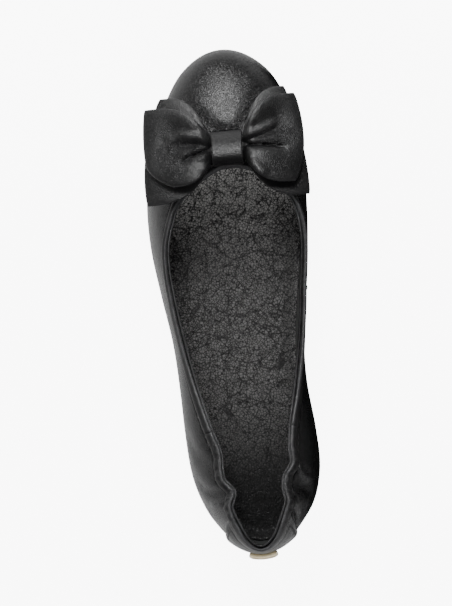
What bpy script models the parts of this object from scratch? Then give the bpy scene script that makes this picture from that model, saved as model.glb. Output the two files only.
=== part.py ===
"""Left ballet flat with a double bow, a bound topline, a gathered heel collar and a low heel.

The toe points along +Y, the medial side faces +X and the floor is z = 0.
Every line that runs round the shoe is a closed loop in an angle: 0 at the back of the
heel, a quarter turn at the medial side, half a turn at the toe or throat. The upper is
the smooth wall through four such loops: featherline, widest line, shoulder and topline.
"""

import math

import bmesh
import bpy
import numpy as np

MM = 0.001

# Last
LAST_LENGTH = 242.7 * MM
BALL_WIDTH = 77.8 * MM
FEATHER_INSET = 4.0 * MM
SWELL_HEIGHT = 14.0 * MM
QUARTER_HEIGHT = 44.5 * MM

# Opening, measured on the outside of the topline
OPENING_BACK = 1.8 * MM
OPENING_LENGTH = 182.6 * MM
OPENING_WIDTH = 69.5 * MM
OPENING_LEAN = 0.25

# Bottom
HEEL_HEIGHT = 10.0 * MM
HEEL_LENGTH = 54.0 * MM
HEEL_TAPER = 1.5 * MM
HEEL_BREAST_ARC = 3.0 * MM
FOREFOOT_FLAT_BACK = 145.0 * MM
FOREFOOT_FLAT_FRONT = 190.0 * MM
TOE_SPRING = 7.0 * MM
SOLE_THICKNESS = 3.5 * MM
SOLE_EDGE = 1.2 * MM
SOLE_STEP = 0.6 * MM
INSOLE_THICKNESS = 3.0 * MM
INSOLE_EDGE_ROUND = 1.0 * MM

# Leather
WALL = 1.8 * MM
BAND_WIDTH = 8.0 * MM
BAND_PROUD = 0.6 * MM
BAND_JOINT_ANGLE = 0.983
GAP = 0.3 * MM

# Heel tab and plate
TAB_HALF_ANGLE = 0.41
TAB_FLARE = 0.22
TAB_FOOT = 0.12
TAB_THICKNESS = 1.6 * MM
PLATE_HALF_WIDTH = 6.0 * MM
PLATE_HEIGHT = 6.5 * MM
PLATE_CENTRE_SHARE = 0.56
PLATE_THICKNESS = 1.4 * MM

# Bow
BOW_SPAN = 77.0 * MM
BOW_CENTRE_FROM_THROAT = 8.7 * MM
BOW_CENTRE_X = 0.0 * MM
BOW_DROOP = 7.0 * MM
RIBBON_THICKNESS = 1.1 * MM
PINCH_GAP = 0.35 * MM
KNOT_WIDTH = 15.0 * MM
KNOT_LENGTH = 17.0 * MM
KNOT_WALL = 1.3 * MM
KNOT_CORNER = 1.0 * MM
KNOT_CROWN = 0.8 * MM

# Columns: station along the last, then half-widths of the widest line as shares of the ball
# width, insets of the featherline as shares of FEATHER_INSET, height of the widest line as
# a share of SWELL_HEIGHT, and where the shoulder lies between the widest line and the
# topline, inwards and upwards.
LAST_COLUMNS = (
    "station", "lateral", "medial", "inset_lateral", "inset_medial", "swell", "in_share", "up_share",
)
LAST_ROWS = (
    (0.020, 0.171, 0.173, 0.85, 0.85, 0.95, 0.30, 0.60),
    (0.040, 0.232, 0.236, 0.85, 0.85, 0.95, 0.30, 0.60),
    (0.080, 0.320, 0.328, 0.85, 0.85, 0.95, 0.30, 0.60),
    (0.140, 0.391, 0.388, 0.90, 0.90, 0.95, 0.30, 0.60),
    (0.230, 0.423, 0.390, 0.95, 1.10, 0.98, 0.30, 0.60),
    (0.320, 0.432, 0.360, 1.00, 1.40, 1.05, 0.30, 0.60),
    (0.420, 0.452, 0.365, 1.00, 1.60, 1.10, 0.30, 0.60),
    (0.520, 0.502, 0.407, 0.95, 1.35, 1.05, 0.30, 0.60),
    (0.620, 0.544, 0.442, 0.85, 0.95, 1.00, 0.32, 0.60),
    (0.700, 0.546, 0.454, 0.80, 0.80, 0.95, 0.35, 0.60),
    (0.780, 0.514, 0.450, 0.70, 0.70, 0.88, 0.38, 0.61),
    (0.860, 0.442, 0.406, 0.55, 0.55, 0.78, 0.41, 0.64),
    (0.920, 0.349, 0.346, 0.45, 0.45, 0.65, 0.42, 0.67),
    (0.965, 0.245, 0.246, 0.40, 0.40, 0.55, 0.42, 0.70),
)

# Columns: station along the opening, half-widths of the topline as shares of the opening
# width, height above the bed as a share of QUARTER_HEIGHT. The narrow rows near 0.15 are
# where the gathered collar is drawn in.
TOPLINE_COLUMNS = ("station", "lateral", "medial", "height")
TOPLINE_ROWS = (
    (0.020, 0.088, 0.088, 1.000),
    (0.061, 0.143, 0.145, 0.992),
    (0.091, 0.174, 0.176, 0.980),
    (0.122, 0.188, 0.203, 0.965),
    (0.157, 0.156, 0.187, 0.945),
    (0.187, 0.226, 0.200, 0.928),
    (0.215, 0.240, 0.252, 0.910),
    (0.258, 0.240, 0.254, 0.885),
    (0.314, 0.288, 0.274, 0.855),
    (0.395, 0.349, 0.328, 0.815),
    (0.496, 0.410, 0.388, 0.795),
    (0.600, 0.453, 0.428, 0.812),
    (0.670, 0.477, 0.447, 0.838),
    (0.735, 0.491, 0.469, 0.862),
    (0.800, 0.485, 0.481, 0.885),
    (0.860, 0.441, 0.461, 0.905),
    (0.910, 0.380, 0.405, 0.920),
    (0.960, 0.240, 0.268, 0.930),
    (0.985, 0.130, 0.160, 0.933),
)

# One row for each ribbon of the bow and each side: its reach at the toe edge and at the
# heel edge, how far its end bulges between them, and how far it spreads towards toe and
# heel, all as shares of BOW_SPAN.
BOW_COLUMNS = ("ribbon", "side", "reach_toe", "reach_heel", "bulge", "spread_toe", "spread_heel")
BOW_ROWS = (
    ("bow_back", -1, 0.395, 0.521, 0.050, 0.345, 0.318),
    ("bow_back", 1, 0.375, 0.480, 0.030, 0.361, 0.327),
    ("bow_front", -1, 0.492, 0.455, 0.029, 0.282, 0.203),
    ("bow_front", 1, 0.436, 0.402, 0.051, 0.308, 0.242),
)

# The bow is four sheets deep. Columns: ribbon, place in the stack of its lower and upper
# sheet, how far each rises once past the knot, then the puff of the upper sheet and the
# depth of the hollow drawn into it by the knot, all as shares of BOW_SPAN.
RIBBON_COLUMNS = ("ribbon", "lower", "upper", "lower_rise", "upper_rise", "puff", "hollow")
RIBBON_ROWS = (
    ("bow_back", 0, 1, 0.000, 0.018, 0.000, 0.000),
    ("bow_front", 2, 3, 0.024, 0.046, 0.055, 0.066),
)

# Where a ribbon's mesh has its columns, as shares of its reach.
RIBBON_STATIONS = (0.0, 0.10, 0.20, 0.25, 0.31, 0.38, 0.46, 0.55, 0.66, 0.77, 0.87, 0.94, 0.98)

BLACK_LEATHER = (0.018, 0.018, 0.019)
BLACK_RUBBER = (0.012, 0.012, 0.012)
PALE_GOLD = (0.83, 0.66, 0.36)


def column(names, rows, name):
    """One named column of a table as an array."""
    return np.array([row[names.index(name)] for row in rows], float)


def through(stations, values, at):
    """Smooth curve through a table's values, level at and beyond its two ends."""
    slopes = np.gradient(values, stations)
    slopes[0] = slopes[-1] = 0.0
    at = np.clip(at, stations[0], stations[-1])
    low = np.clip(np.searchsorted(stations, at) - 1, 0, len(stations) - 2)
    step = stations[low + 1] - stations[low]
    t = (at - stations[low]) / step
    return (
        (2 * t**3 - 3 * t**2 + 1) * values[low]
        + (t**3 - 2 * t**2 + t) * step * slopes[low]
        + (3 * t**2 - 2 * t**3) * values[low + 1]
        + (t**3 - t**2) * step * slopes[low + 1]
    )


def ease(t):
    """Rises smoothly from 0 to 1."""
    t = np.clip(t, 0.0, 1.0)
    return t * t * (3 - 2 * t)


def roundness(share):
    """Half-width of an ellipse of width 2 at a share of its length."""
    return np.sqrt(np.clip(4 * share * (1 - share), 0.0, 1.0))


def last_value(name, share):
    """A column of the last's table at any share of the length."""
    return through(column(LAST_COLUMNS, LAST_ROWS, "station"), column(LAST_COLUMNS, LAST_ROWS, name), share)


def fullness(names, rows, name, share):
    """How much a table's outline is wider than an ellipse, which stays finite at both ends."""
    stations = column(names, rows, "station")
    return through(stations, column(names, rows, name) / roundness(stations), share)


def bed_height(y):
    """Height of the sole's upper face: level at the heel and the ball, arched between, sprung at the toe."""
    arch = ease((FOREFOOT_FLAT_BACK - y) / (FOREFOOT_FLAT_BACK - HEEL_LENGTH - GAP))
    spring = np.clip((y - FOREFOOT_FLAT_FRONT) / (LAST_LENGTH - FOREFOOT_FLAT_FRONT), 0.0, None)
    return SOLE_THICKNESS + HEEL_HEIGHT * arch + TOE_SPRING * spring**2


def widest_loop(angle):
    """Outline of the last seen from above."""
    share = (1 - np.cos(angle)) / 2
    medial = fullness(LAST_COLUMNS, LAST_ROWS, "medial", share)
    lateral = fullness(LAST_COLUMNS, LAST_ROWS, "lateral", share)
    x = np.sin(angle) * np.where(np.sin(angle) > 0, medial, lateral) * BALL_WIDTH
    y = LAST_LENGTH * share
    return np.stack([x, y, bed_height(y) + SWELL_HEIGHT * last_value("swell", share)], -1)


def feather_outline(angle):
    """Outline where the upper meets the sole, inside the widest line by the table's insets."""
    share = (1 - np.cos(angle)) / 2
    sine = np.sin(angle)
    inset_side = np.where(sine > 0, last_value("inset_medial", share), last_value("inset_lateral", share))
    inset_back = FEATHER_INSET * last_value("inset_lateral", 0.0)
    inset_front = FEATHER_INSET * last_value("inset_lateral", 1.0)
    x = widest_loop(angle)[..., 0] - FEATHER_INSET * inset_side * sine
    y = inset_back + (LAST_LENGTH - inset_back - inset_front) * share
    return np.stack([x, y], -1)


def feather_loop(angle, outset=0.0):
    """The featherline on the sole's upper face, moved outwards by a distance."""
    nudge = 1e-4
    tangent = feather_outline(angle + nudge) - feather_outline(angle - nudge)
    tangent /= np.linalg.norm(tangent, axis=-1, keepdims=True)
    outline = feather_outline(angle)
    x = outline[..., 0] + outset * tangent[..., 1]
    y = outline[..., 1] - outset * tangent[..., 0]
    return np.stack([x, y, bed_height(y)], -1)


def topline_loop(angle):
    """Outer edge of the opening, leaning forward of the loops below it along the sides."""
    turned = angle + OPENING_LEAN * np.sin(angle)
    share = (1 - np.cos(turned)) / 2
    medial = fullness(TOPLINE_COLUMNS, TOPLINE_ROWS, "medial", share)
    lateral = fullness(TOPLINE_COLUMNS, TOPLINE_ROWS, "lateral", share)
    x = np.sin(turned) * np.where(np.sin(turned) > 0, medial, lateral) * OPENING_WIDTH
    y = OPENING_BACK + OPENING_LENGTH * share
    stations = column(TOPLINE_COLUMNS, TOPLINE_ROWS, "station")
    height = QUARTER_HEIGHT * through(stations, column(TOPLINE_COLUMNS, TOPLINE_ROWS, "height"), share)
    return np.stack([x, y, bed_height(y) + height], -1)


def wall_loops(angle):
    """The four loops that the upper passes through, from the sole up."""
    share = (1 - np.cos(angle)) / 2
    feather = feather_loop(angle)
    feather[..., 2] += GAP
    widest = widest_loop(angle)
    topline = topline_loop(angle)
    inwards = last_value("in_share", share)
    upwards = last_value("up_share", share)
    shares = np.stack([inwards, inwards, upwards], -1)
    return feather, widest, widest + (topline - widest) * shares, topline


def wall_length(angle):
    """Length of the upper's wall from featherline to topline."""
    loops = wall_loops(angle)
    return sum(np.linalg.norm(b - a, axis=-1) for a, b in zip(loops, loops[1:]))


def wall_point(angle, rise):
    """Outer face of the upper: the cubic through the four loops, at a share of the way up."""
    angle, rise = np.broadcast_arrays(np.asarray(angle, float), np.asarray(rise, float))
    loops = wall_loops(angle)
    steps = [np.linalg.norm(b - a, axis=-1) for a, b in zip(loops, loops[1:])]
    total = sum(steps)
    knots = [np.zeros_like(total), steps[0] / total, (steps[0] + steps[1]) / total, np.ones_like(total)]
    point = np.zeros(angle.shape + (3,))
    for i, loop in enumerate(loops):
        weight = np.ones_like(total)
        for j, knot in enumerate(knots):
            if j != i:
                weight = weight * (rise - knot) / (knots[i] - knot)
        point += weight[..., None] * loop
    return point


def wall_normal(angle, rise):
    """Unit normal of the upper's outer face, pointing out of the shoe."""
    nudge = 1e-4
    along = wall_point(angle + nudge, rise) - wall_point(angle - nudge, rise)
    up = wall_point(angle, rise + nudge) - wall_point(angle, rise - nudge)
    normal = np.cross(along, up)
    return normal / np.linalg.norm(normal, axis=-1, keepdims=True)


def offset_wall(angle, rise, outwards):
    """The upper's own surface moved outwards along its normal."""
    outwards = np.asarray(outwards, float)
    return wall_point(angle, rise) + wall_normal(angle, rise) * outwards[..., None]


def collar_angles():
    """Angles of the gathered collar, from joint to joint round the heel."""
    return np.linspace(-BAND_JOINT_ANGLE, BAND_JOINT_ANGLE, 41)


def binding_angles():
    """Angles of the smooth binding, from joint to joint round the throat."""
    joint = BAND_JOINT_ANGLE + GAP / LAST_LENGTH * math.pi
    return np.linspace(joint, 2 * math.pi - joint, 52)


def band_foot(angle):
    """Share of the way up the wall where the topline band starts."""
    return 1.0 - BAND_WIDTH / wall_length(angle)


def material(name, colour, roughness, metallic=0.0):
    """One Principled material for a piece."""
    made = bpy.data.materials.new(name)
    made.use_nodes = True
    shader = made.node_tree.nodes["Principled BSDF"]
    shader.inputs["Base Color"].default_value = (*colour, 1.0)
    shader.inputs["Roughness"].default_value = roughness
    shader.inputs["Metallic"].default_value = metallic
    return made


def add_piece(name, mesh_edit, finish, parent):
    """Turns a bmesh into a smooth-shaded object with its material, hung on the shoe's empty."""
    bmesh.ops.recalc_face_normals(mesh_edit, faces=mesh_edit.faces)
    mesh = bpy.data.meshes.new(name)
    mesh_edit.to_mesh(mesh)
    mesh_edit.free()
    mesh.shade_smooth()
    mesh.set_sharp_from_angle(angle=math.radians(40))
    mesh.materials.append(finish)
    piece = bpy.data.objects.new(name, mesh)
    bpy.context.scene.collection.objects.link(piece)
    piece.parent = parent
    return piece


def grid_verts(mesh_edit, grid):
    """Adds a grid of points, kept as rows of vertices."""
    return [[mesh_edit.verts.new(point) for point in row] for row in grid]


def quads_between(mesh_edit, first, second, closed):
    """A strip of quads between two rows of vertices."""
    count = len(first)
    for i in range(count if closed else count - 1):
        j = (i + 1) % count
        mesh_edit.faces.new((first[i], first[j], second[j], second[i]))


def slab(outer, inner, closed):
    """A sheet with a thickness: two grids joined along their open edges."""
    mesh_edit = bmesh.new()
    rows_out = grid_verts(mesh_edit, outer)
    rows_in = grid_verts(mesh_edit, inner)
    for rows in (rows_out, rows_in):
        for first, second in zip(rows, rows[1:]):
            quads_between(mesh_edit, first, second, closed)
    for end in (0, -1):
        quads_between(mesh_edit, rows_out[end], rows_in[end], closed)
    if not closed:
        for end in (0, -1):
            side_out = [row[end] for row in rows_out]
            side_in = [row[end] for row in rows_in]
            quads_between(mesh_edit, side_out, side_in, False)
    return mesh_edit


def tube(sections, closed_way):
    """Rings of points joined along a way that either closes on itself or ends in two caps."""
    mesh_edit = bmesh.new()
    rings = grid_verts(mesh_edit, sections)
    for first, second in zip(rings, rings[1:]):
        quads_between(mesh_edit, first, second, True)
    if closed_way:
        quads_between(mesh_edit, rings[-1], rings[0], True)
    else:
        mesh_edit.faces.new(rings[0])
        mesh_edit.faces.new(rings[-1])
    return mesh_edit


def plate_from_loops(loops):
    """A plate whose edge passes through loops from bottom to top, with strips across both faces."""
    mesh_edit = bmesh.new()
    rings = grid_verts(mesh_edit, loops)
    for first, second in zip(rings, rings[1:]):
        quads_between(mesh_edit, first, second, True)
    for ring in (rings[0], rings[-1]):
        half = len(ring) // 2
        for i in range(half):
            corners = (ring[i], ring[i + 1], ring[-i - 1], ring[-i % len(ring)])
            mesh_edit.faces.new(tuple(dict.fromkeys(corners)))
    return mesh_edit


def build_upper(finish, parent):
    """Vamp and quarters in one wall, open at the topline band and underneath."""
    angle = np.concatenate([collar_angles(), binding_angles()])[None, :]
    top = band_foot(angle) - GAP / wall_length(angle)
    rise = np.linspace(0.0, 1.0, 9)[:, None] * top
    angle = np.broadcast_to(angle, rise.shape)
    outer = wall_point(angle, rise)
    inner = offset_wall(angle, rise, np.full(rise.shape, -WALL))
    inner[0, :, 2] = outer[0, :, 2]
    return add_piece("upper", slab(outer, inner, True), finish, parent)


def band_section(angle):
    """Rounded section of the band that is folded over the topline, one ring for each angle."""
    outside = BAND_PROUD
    inside = -WALL - BAND_PROUD
    middle = (outside + inside) / 2
    profile = (
        (0.00, outside), (0.45, outside), (0.86, outside), (0.97, (outside + middle) / 2),
        (1.00, middle),
        (0.97, (inside + middle) / 2), (0.86, inside), (0.45, inside), (0.00, inside),
    )
    length = wall_length(angle)
    rings = []
    for up, out in profile:
        rise = 1.0 - (1.0 - up) * BAND_WIDTH / length
        rings.append(offset_wall(angle, rise, np.full(angle.shape, out)))
    return np.stack(rings, 1)


def build_binding(finish, parent):
    """Smooth part of the topline band, from one joint round the throat to the other."""
    return add_piece("topline_binding", tube(band_section(binding_angles()), False), finish, parent)


def build_collar(finish, parent):
    """Gathered elastic part of the topline band, round the heel."""
    return add_piece("elastic_collar", tube(band_section(collar_angles()), False), finish, parent)


def patch(half_angle, flare, foot, top, inside, thickness, columns, rows, corner):
    """A rounded patch on the heel: the upper's own surface between two offsets."""
    across = np.linspace(-1.0, 1.0, columns)[None, :]
    up = np.linspace(0.0, 1.0, rows)[:, None]
    angle = across * half_angle * (1 + flare * (2 * up - 1))
    low = foot + corner * (top(angle) - foot) * np.abs(across) ** 4
    rise = low + up * (top(angle) - low)
    inner = offset_wall(angle, rise, np.full(rise.shape, inside))
    outer = offset_wall(angle, rise, np.full(rise.shape, inside + thickness))
    return slab(outer, inner, False)


def build_heel_tab(finish, parent):
    """Leather tab laid over the back of the heel, from the collar to just above the sole."""

    def top(angle):
        return band_foot(angle) - GAP / wall_length(angle)

    shape = patch(TAB_HALF_ANGLE, TAB_FLARE, TAB_FOOT, top, GAP, TAB_THICKNESS, 15, 8, 0.35)
    return add_piece("heel_tab", shape, finish, parent)


def build_heel_plate(finish, parent):
    """Plain metal plate on the tab."""
    length = float(wall_length(np.array(0.0)))
    half_angle = PLATE_HALF_WIDTH / (BALL_WIDTH * fullness(LAST_COLUMNS, LAST_ROWS, "medial", np.array(0.0)))
    foot = PLATE_CENTRE_SHARE - PLATE_HEIGHT / length / 2

    def top(angle):
        return np.full(angle.shape, PLATE_CENTRE_SHARE + PLATE_HEIGHT / length / 2)

    seat = GAP + TAB_THICKNESS + GAP
    shape = patch(float(half_angle), 0.0, foot, top, seat, PLATE_THICKNESS, 7, 4, 0.0)
    return add_piece("heel_plate", shape, finish, parent)


def build_outsole(finish, parent):
    """Rubber sole with a stepped edge, following the bed from heel seat to toe spring."""
    angle = np.linspace(0.0, 2 * math.pi, 80, endpoint=False)
    steps = (
        (SOLE_EDGE - SOLE_STEP - SOLE_STEP, 0.0),
        (SOLE_EDGE - SOLE_STEP, 0.18),
        (SOLE_EDGE - SOLE_STEP, 0.50),
        (SOLE_EDGE, 0.58),
        (SOLE_EDGE, 0.90),
        (SOLE_EDGE - SOLE_STEP / 2, 1.0),
    )
    loops = []
    for outset, up in steps:
        loop = feather_loop(angle, outset)
        loop[:, 2] -= SOLE_THICKNESS * (1 - up)
        loops.append(loop)
    return add_piece("outsole", plate_from_loops(loops), finish, parent)


def build_insole(finish, parent):
    """Padded sock inside the upper, resting just clear of the sole and the wall."""
    angle = np.linspace(0.0, 2 * math.pi, 72, endpoint=False)
    outline = -WALL - GAP
    edge = INSOLE_EDGE_ROUND
    steps = ((outline, 0.0), (outline, 1 - edge / INSOLE_THICKNESS), (outline - 0.3 * edge, 0.9), (outline - edge, 1.0))
    loops = []
    for outset, up in steps:
        loop = feather_loop(angle, outset)
        loop[:, 2] += GAP + INSOLE_THICKNESS * up
        loops.append(loop)
    return add_piece("insole", plate_from_loops(loops), finish, parent)


def build_heel(finish, parent):
    """Low heel under the seat, tapered to its tread, with a curved breast."""
    breast_share = HEEL_LENGTH / LAST_LENGTH
    side = math.acos(1 - 2 * breast_share)
    around = np.linspace(-side, side, 29)
    top = feather_loop(around, SOLE_EDGE - 2 * SOLE_STEP)
    across = np.linspace(1.0, -1.0, 9)[1:-1]
    half_way = (top[-1, 0] + top[0, 0]) / 2
    half_width = (top[-1, 0] - top[0, 0]) / 2
    breast = np.stack([
        half_way + across * half_width,
        top[0, 1] - HEEL_BREAST_ARC * (1 - across**2),
        np.zeros(len(across)),
    ], -1)
    outline = np.concatenate([top, breast])
    outline[:, 2] = 0.0
    centre = np.array([half_way, outline[:, 1].mean(), 0.0])
    reach = np.linalg.norm(outline - centre, axis=1, keepdims=True)
    tread = outline + (centre - outline) / reach * HEEL_TAPER
    seat = outline.copy()
    seat[:, 2] = HEEL_HEIGHT - GAP
    return add_piece("heel", tube(np.stack([tread, seat]), False), finish, parent)


def vamp_ridge(y):
    """Height of the vamp's ridge at a distance along the shoe."""
    ridge = wall_point(np.full(200, math.pi), np.linspace(0.3, 1.0, 200))
    order = np.argsort(ridge[:, 1])
    return np.interp(y, ridge[order, 1], ridge[order, 2])


def bow_centre():
    """Distance of the bow's middle along the shoe."""
    return OPENING_BACK + OPENING_LENGTH + BOW_CENTRE_FROM_THROAT


def bow_height(x, y, height):
    """Height over the gently drooping surface on which the bow's lowest sheet lies."""
    middle = bow_centre()
    reach = KNOT_LENGTH / 2
    slope = (vamp_ridge(middle + reach) - vamp_ridge(middle)) / reach
    under = vamp_ridge(middle) + BAND_PROUD + GAP + KNOT_WALL
    droop = BOW_DROOP * (np.abs(x) / (BOW_SPAN / 2)) ** 2.4
    return under + slope * (y - middle) - droop + height


def ribbon_point(name, way, across):
    """Middle of a flat ribbon loop that is drawn together at the knot.

    The way runs once round the loop: 0 at the middle of the lower sheet, a quarter turn at
    the medial fold, half a turn at the middle of the upper sheet. Across runs from -1 at
    the heel edge to 1 at the toe edge.
    """
    sides = {row[BOW_COLUMNS.index("side")]: row for row in BOW_ROWS if row[0] == name}
    ribbon = dict(zip(RIBBON_COLUMNS, next(row for row in RIBBON_ROWS if row[0] == name)))

    def of_side(key):
        place = BOW_COLUMNS.index(key)
        return BOW_SPAN * np.where(np.sin(way) > 0, sides[1][place], sides[-1][place])

    reach = of_side("reach_heel") + (of_side("reach_toe") - of_side("reach_heel")) * (across + 1) / 2
    reach = reach + of_side("bulge") * (1 - across**2)
    spread = np.where(across > 0, of_side("spread_toe"), of_side("spread_heel"))
    pinched = KNOT_LENGTH / 2 - KNOT_WALL - KNOT_CORNER - GAP
    x = np.sin(way) * reach
    knot_edge = KNOT_WIDTH / 2 + GAP
    past_knot = np.clip((np.abs(x) - knot_edge) / (reach - knot_edge), 0.0, 1.0)
    y = bow_centre() + across * (pinched + (spread - pinched) * (1 - (1 - past_knot) ** 3.2))

    out = np.clip((np.abs(x) - knot_edge) / (BOW_SPAN / 2 - knot_edge), 0.0, 1.0)
    opened = ease(out / 0.35)
    puff = BOW_SPAN * ribbon["puff"] * ease(out / 0.45) * (1 - 0.6 * out)
    fold = np.exp(-((across / (0.26 + 0.45 * out)) ** 2)) * (1 - ease((out - 0.30) / 0.5))
    hollow = BOW_SPAN * ribbon["hollow"] * fold * ease(out / 0.28)
    pitch = RIBBON_THICKNESS + PINCH_GAP
    lower = pitch * (ribbon["lower"] + 0.5) + BOW_SPAN * ribbon["lower_rise"] * opened
    upper = pitch * (ribbon["upper"] + 0.5) + BOW_SPAN * ribbon["upper_rise"] * opened + puff - hollow
    roll = np.sign(np.cos(way)) * np.abs(np.cos(way)) ** 0.5
    height = PINCH_GAP / 2 + (lower + upper) / 2 - roll * (upper - lower) / 2
    return np.stack([BOW_CENTRE_X + x, y, bow_height(x, y, height)], -1)


def build_ribbon(name, finish, parent):
    """One closed ribbon loop of the bow, a sheet of leather with its thickness."""
    quarter = np.arcsin(RIBBON_STATIONS)
    back = math.pi - np.append(quarter[1:], math.pi / 2)[::-1]
    way = np.concatenate([quarter, back, math.pi + quarter, math.pi + back])[None, :]
    across = np.linspace(-1.0, 1.0, 9)[:, None]
    way, across = np.broadcast_arrays(way, across)
    nudge = 1e-3
    middle = ribbon_point(name, way, across)
    along = ribbon_point(name, way + nudge, across) - ribbon_point(name, way - nudge, across)
    width = ribbon_point(name, way, across + nudge) - ribbon_point(name, way, across - nudge)
    normal = np.cross(along, width)
    normal /= np.linalg.norm(normal, axis=-1, keepdims=True)
    half = normal * RIBBON_THICKNESS / 2
    return add_piece(name, slab(middle + half, middle - half, True), finish, parent)


def rounded_box_ring(half_width, half_height, corner, crown):
    """Ring of points round a box with rounded corners and a slightly domed top."""
    ring = []
    for quarter in range(4):
        start = quarter * math.pi / 2
        sign_y = 1 if quarter in (0, 3) else -1
        sign_z = 1 if quarter in (0, 1) else -1
        for step in range(4):
            turn = start + step * math.pi / 6
            y = sign_y * (half_width - corner) + corner * math.cos(turn)
            z = sign_z * (half_height - corner) + corner * math.sin(turn)
            ring.append((y, z))
        if quarter == 0:
            ring.extend((y, half_height) for y in (half_width * 0.4, 0.0, -half_width * 0.4))
    ring = np.array(ring)
    dome = crown * (1 - (ring[:, 0] / half_width) ** 2) * (ring[:, 1] > 0)
    return ring[:, 0], ring[:, 1] + dome


def build_knot(finish, parent):
    """Band round the middle of the bow, hollow so that both ribbons pass through it."""
    stack = 4 * (RIBBON_THICKNESS + PINCH_GAP) + PINCH_GAP
    outer = []
    inner = []
    for x in np.linspace(-KNOT_WIDTH / 2, KNOT_WIDTH / 2, 5):
        for rings, wall in ((outer, KNOT_WALL), (inner, 0.0)):
            half_width = KNOT_LENGTH / 2 - KNOT_WALL + wall
            y, z = rounded_box_ring(half_width, stack / 2 + wall, KNOT_CORNER + wall, KNOT_CROWN)
            y = y + bow_centre()
            x_row = np.full(y.shape, float(x))
            rings.append(np.stack([BOW_CENTRE_X + x_row, y, bow_height(x_row, y, stack / 2 + z)], -1))
    return add_piece("bow_knot", slab(np.array(outer), np.array(inner), True), finish, parent)


def centre_over_origin(parent):
    """Moves the shoe so that the middle of its box stands over the origin."""
    bpy.context.view_layer.update()
    corners = np.array([
        piece.matrix_world @ vertex.co for piece in parent.children for vertex in piece.data.vertices
    ])
    middle = (corners.min(0) + corners.max(0)) / 2
    parent.location = (-middle[0], -middle[1], -corners[:, 2].min())


def main():
    """Builds the shoe."""
    for thing in list(bpy.data.objects):
        bpy.data.objects.remove(thing)
    shoe = bpy.data.objects.new("shoe", None)
    bpy.context.scene.collection.objects.link(shoe)
    leather = material("black_leather", BLACK_LEATHER, 0.42)
    lining = material("grained_insole", BLACK_LEATHER, 0.55)
    rubber = material("black_rubber", BLACK_RUBBER, 0.65)
    gold = material("pale_gold", PALE_GOLD, 0.25, 1.0)
    build_outsole(rubber, shoe)
    build_heel(rubber, shoe)
    build_insole(lining, shoe)
    build_upper(leather, shoe)
    build_binding(leather, shoe)
    build_collar(leather, shoe)
    build_heel_tab(leather, shoe)
    build_heel_plate(gold, shoe)
    build_ribbon("bow_back", leather, shoe)
    build_ribbon("bow_front", leather, shoe)
    build_knot(leather, shoe)
    centre_over_origin(shoe)


main()
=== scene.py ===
"""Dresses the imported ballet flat: a smooth black leather shoe with a bow, seen from above.

Lengths are in metres. Every line that runs round the shoe is a closed loop in an angle: 0 at
the back of the heel, a quarter turn at the medial side, half a turn at the toe or throat.
The toe points along +Y, the medial side faces +X and the floor is z = 0.
"""

from __future__ import annotations

import logging
import math
from dataclasses import dataclass, field
from enum import Enum

import bpy
import numpy as np
from mathutils import Matrix, Vector

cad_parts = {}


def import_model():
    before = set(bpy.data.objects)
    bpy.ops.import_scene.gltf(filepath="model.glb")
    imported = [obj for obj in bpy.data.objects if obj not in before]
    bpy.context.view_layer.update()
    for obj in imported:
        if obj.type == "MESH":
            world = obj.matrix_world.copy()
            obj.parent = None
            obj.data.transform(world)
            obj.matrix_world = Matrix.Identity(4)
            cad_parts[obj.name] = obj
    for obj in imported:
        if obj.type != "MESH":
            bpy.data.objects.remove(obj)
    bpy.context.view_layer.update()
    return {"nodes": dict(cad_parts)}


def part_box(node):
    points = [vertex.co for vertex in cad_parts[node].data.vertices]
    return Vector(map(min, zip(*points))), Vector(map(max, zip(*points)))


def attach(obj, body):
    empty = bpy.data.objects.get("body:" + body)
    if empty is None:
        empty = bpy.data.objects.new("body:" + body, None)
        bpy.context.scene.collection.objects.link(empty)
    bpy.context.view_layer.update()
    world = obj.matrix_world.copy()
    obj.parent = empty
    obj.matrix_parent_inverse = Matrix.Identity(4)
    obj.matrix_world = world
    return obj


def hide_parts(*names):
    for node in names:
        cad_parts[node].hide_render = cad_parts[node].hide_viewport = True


MM = 0.001
TURN = 2 * math.pi
LOG = logging.getLogger("ballet_flat")
Array = np.ndarray
Pairs = tuple[tuple[float, float], ...]
Triple = tuple[float, float, float]


class Slot(Enum):
    """Material slots of the record, one named by each finish."""

    LEATHER = "black_leather"
    INSOLE = "insole_leather"
    RUBBER = "black_rubber"
    GOLD = "pale_gold"


def ease(share: Array) -> Array:
    """Rises smoothly from 0 to 1 as the share does."""
    share = np.clip(share, 0.0, 1.0)
    return share * share * (3 - 2 * share)


def bell(distance: Array, width: float) -> Array:
    """A soft hump: 1 at distance 0, fading over the width."""
    return np.exp(-((distance / width) ** 2))


def settled(share: Array, power: float) -> Array:
    """Rises from 0 to 1 as the share does, fast at first, then levelling off."""
    return 1 - np.clip(1 - share, 0.0, 1.0) ** power


def bent(value: Array, power: float) -> Array:
    """A value between -1 and 1 raised to a power, with its sign kept."""
    return np.sign(value) * np.abs(value) ** power


def sampled(at: Array, stations: Array, values: Array) -> Array:
    """Columns of values read between their stations."""
    return np.stack([np.interp(at, stations, column) for column in values.T], -1)


def distances(path: Array) -> Array:
    """Distance of each corner of a path from its start."""
    return np.concatenate([[0.0], np.cumsum(np.linalg.norm(np.diff(path, axis=0), axis=1))])


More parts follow.
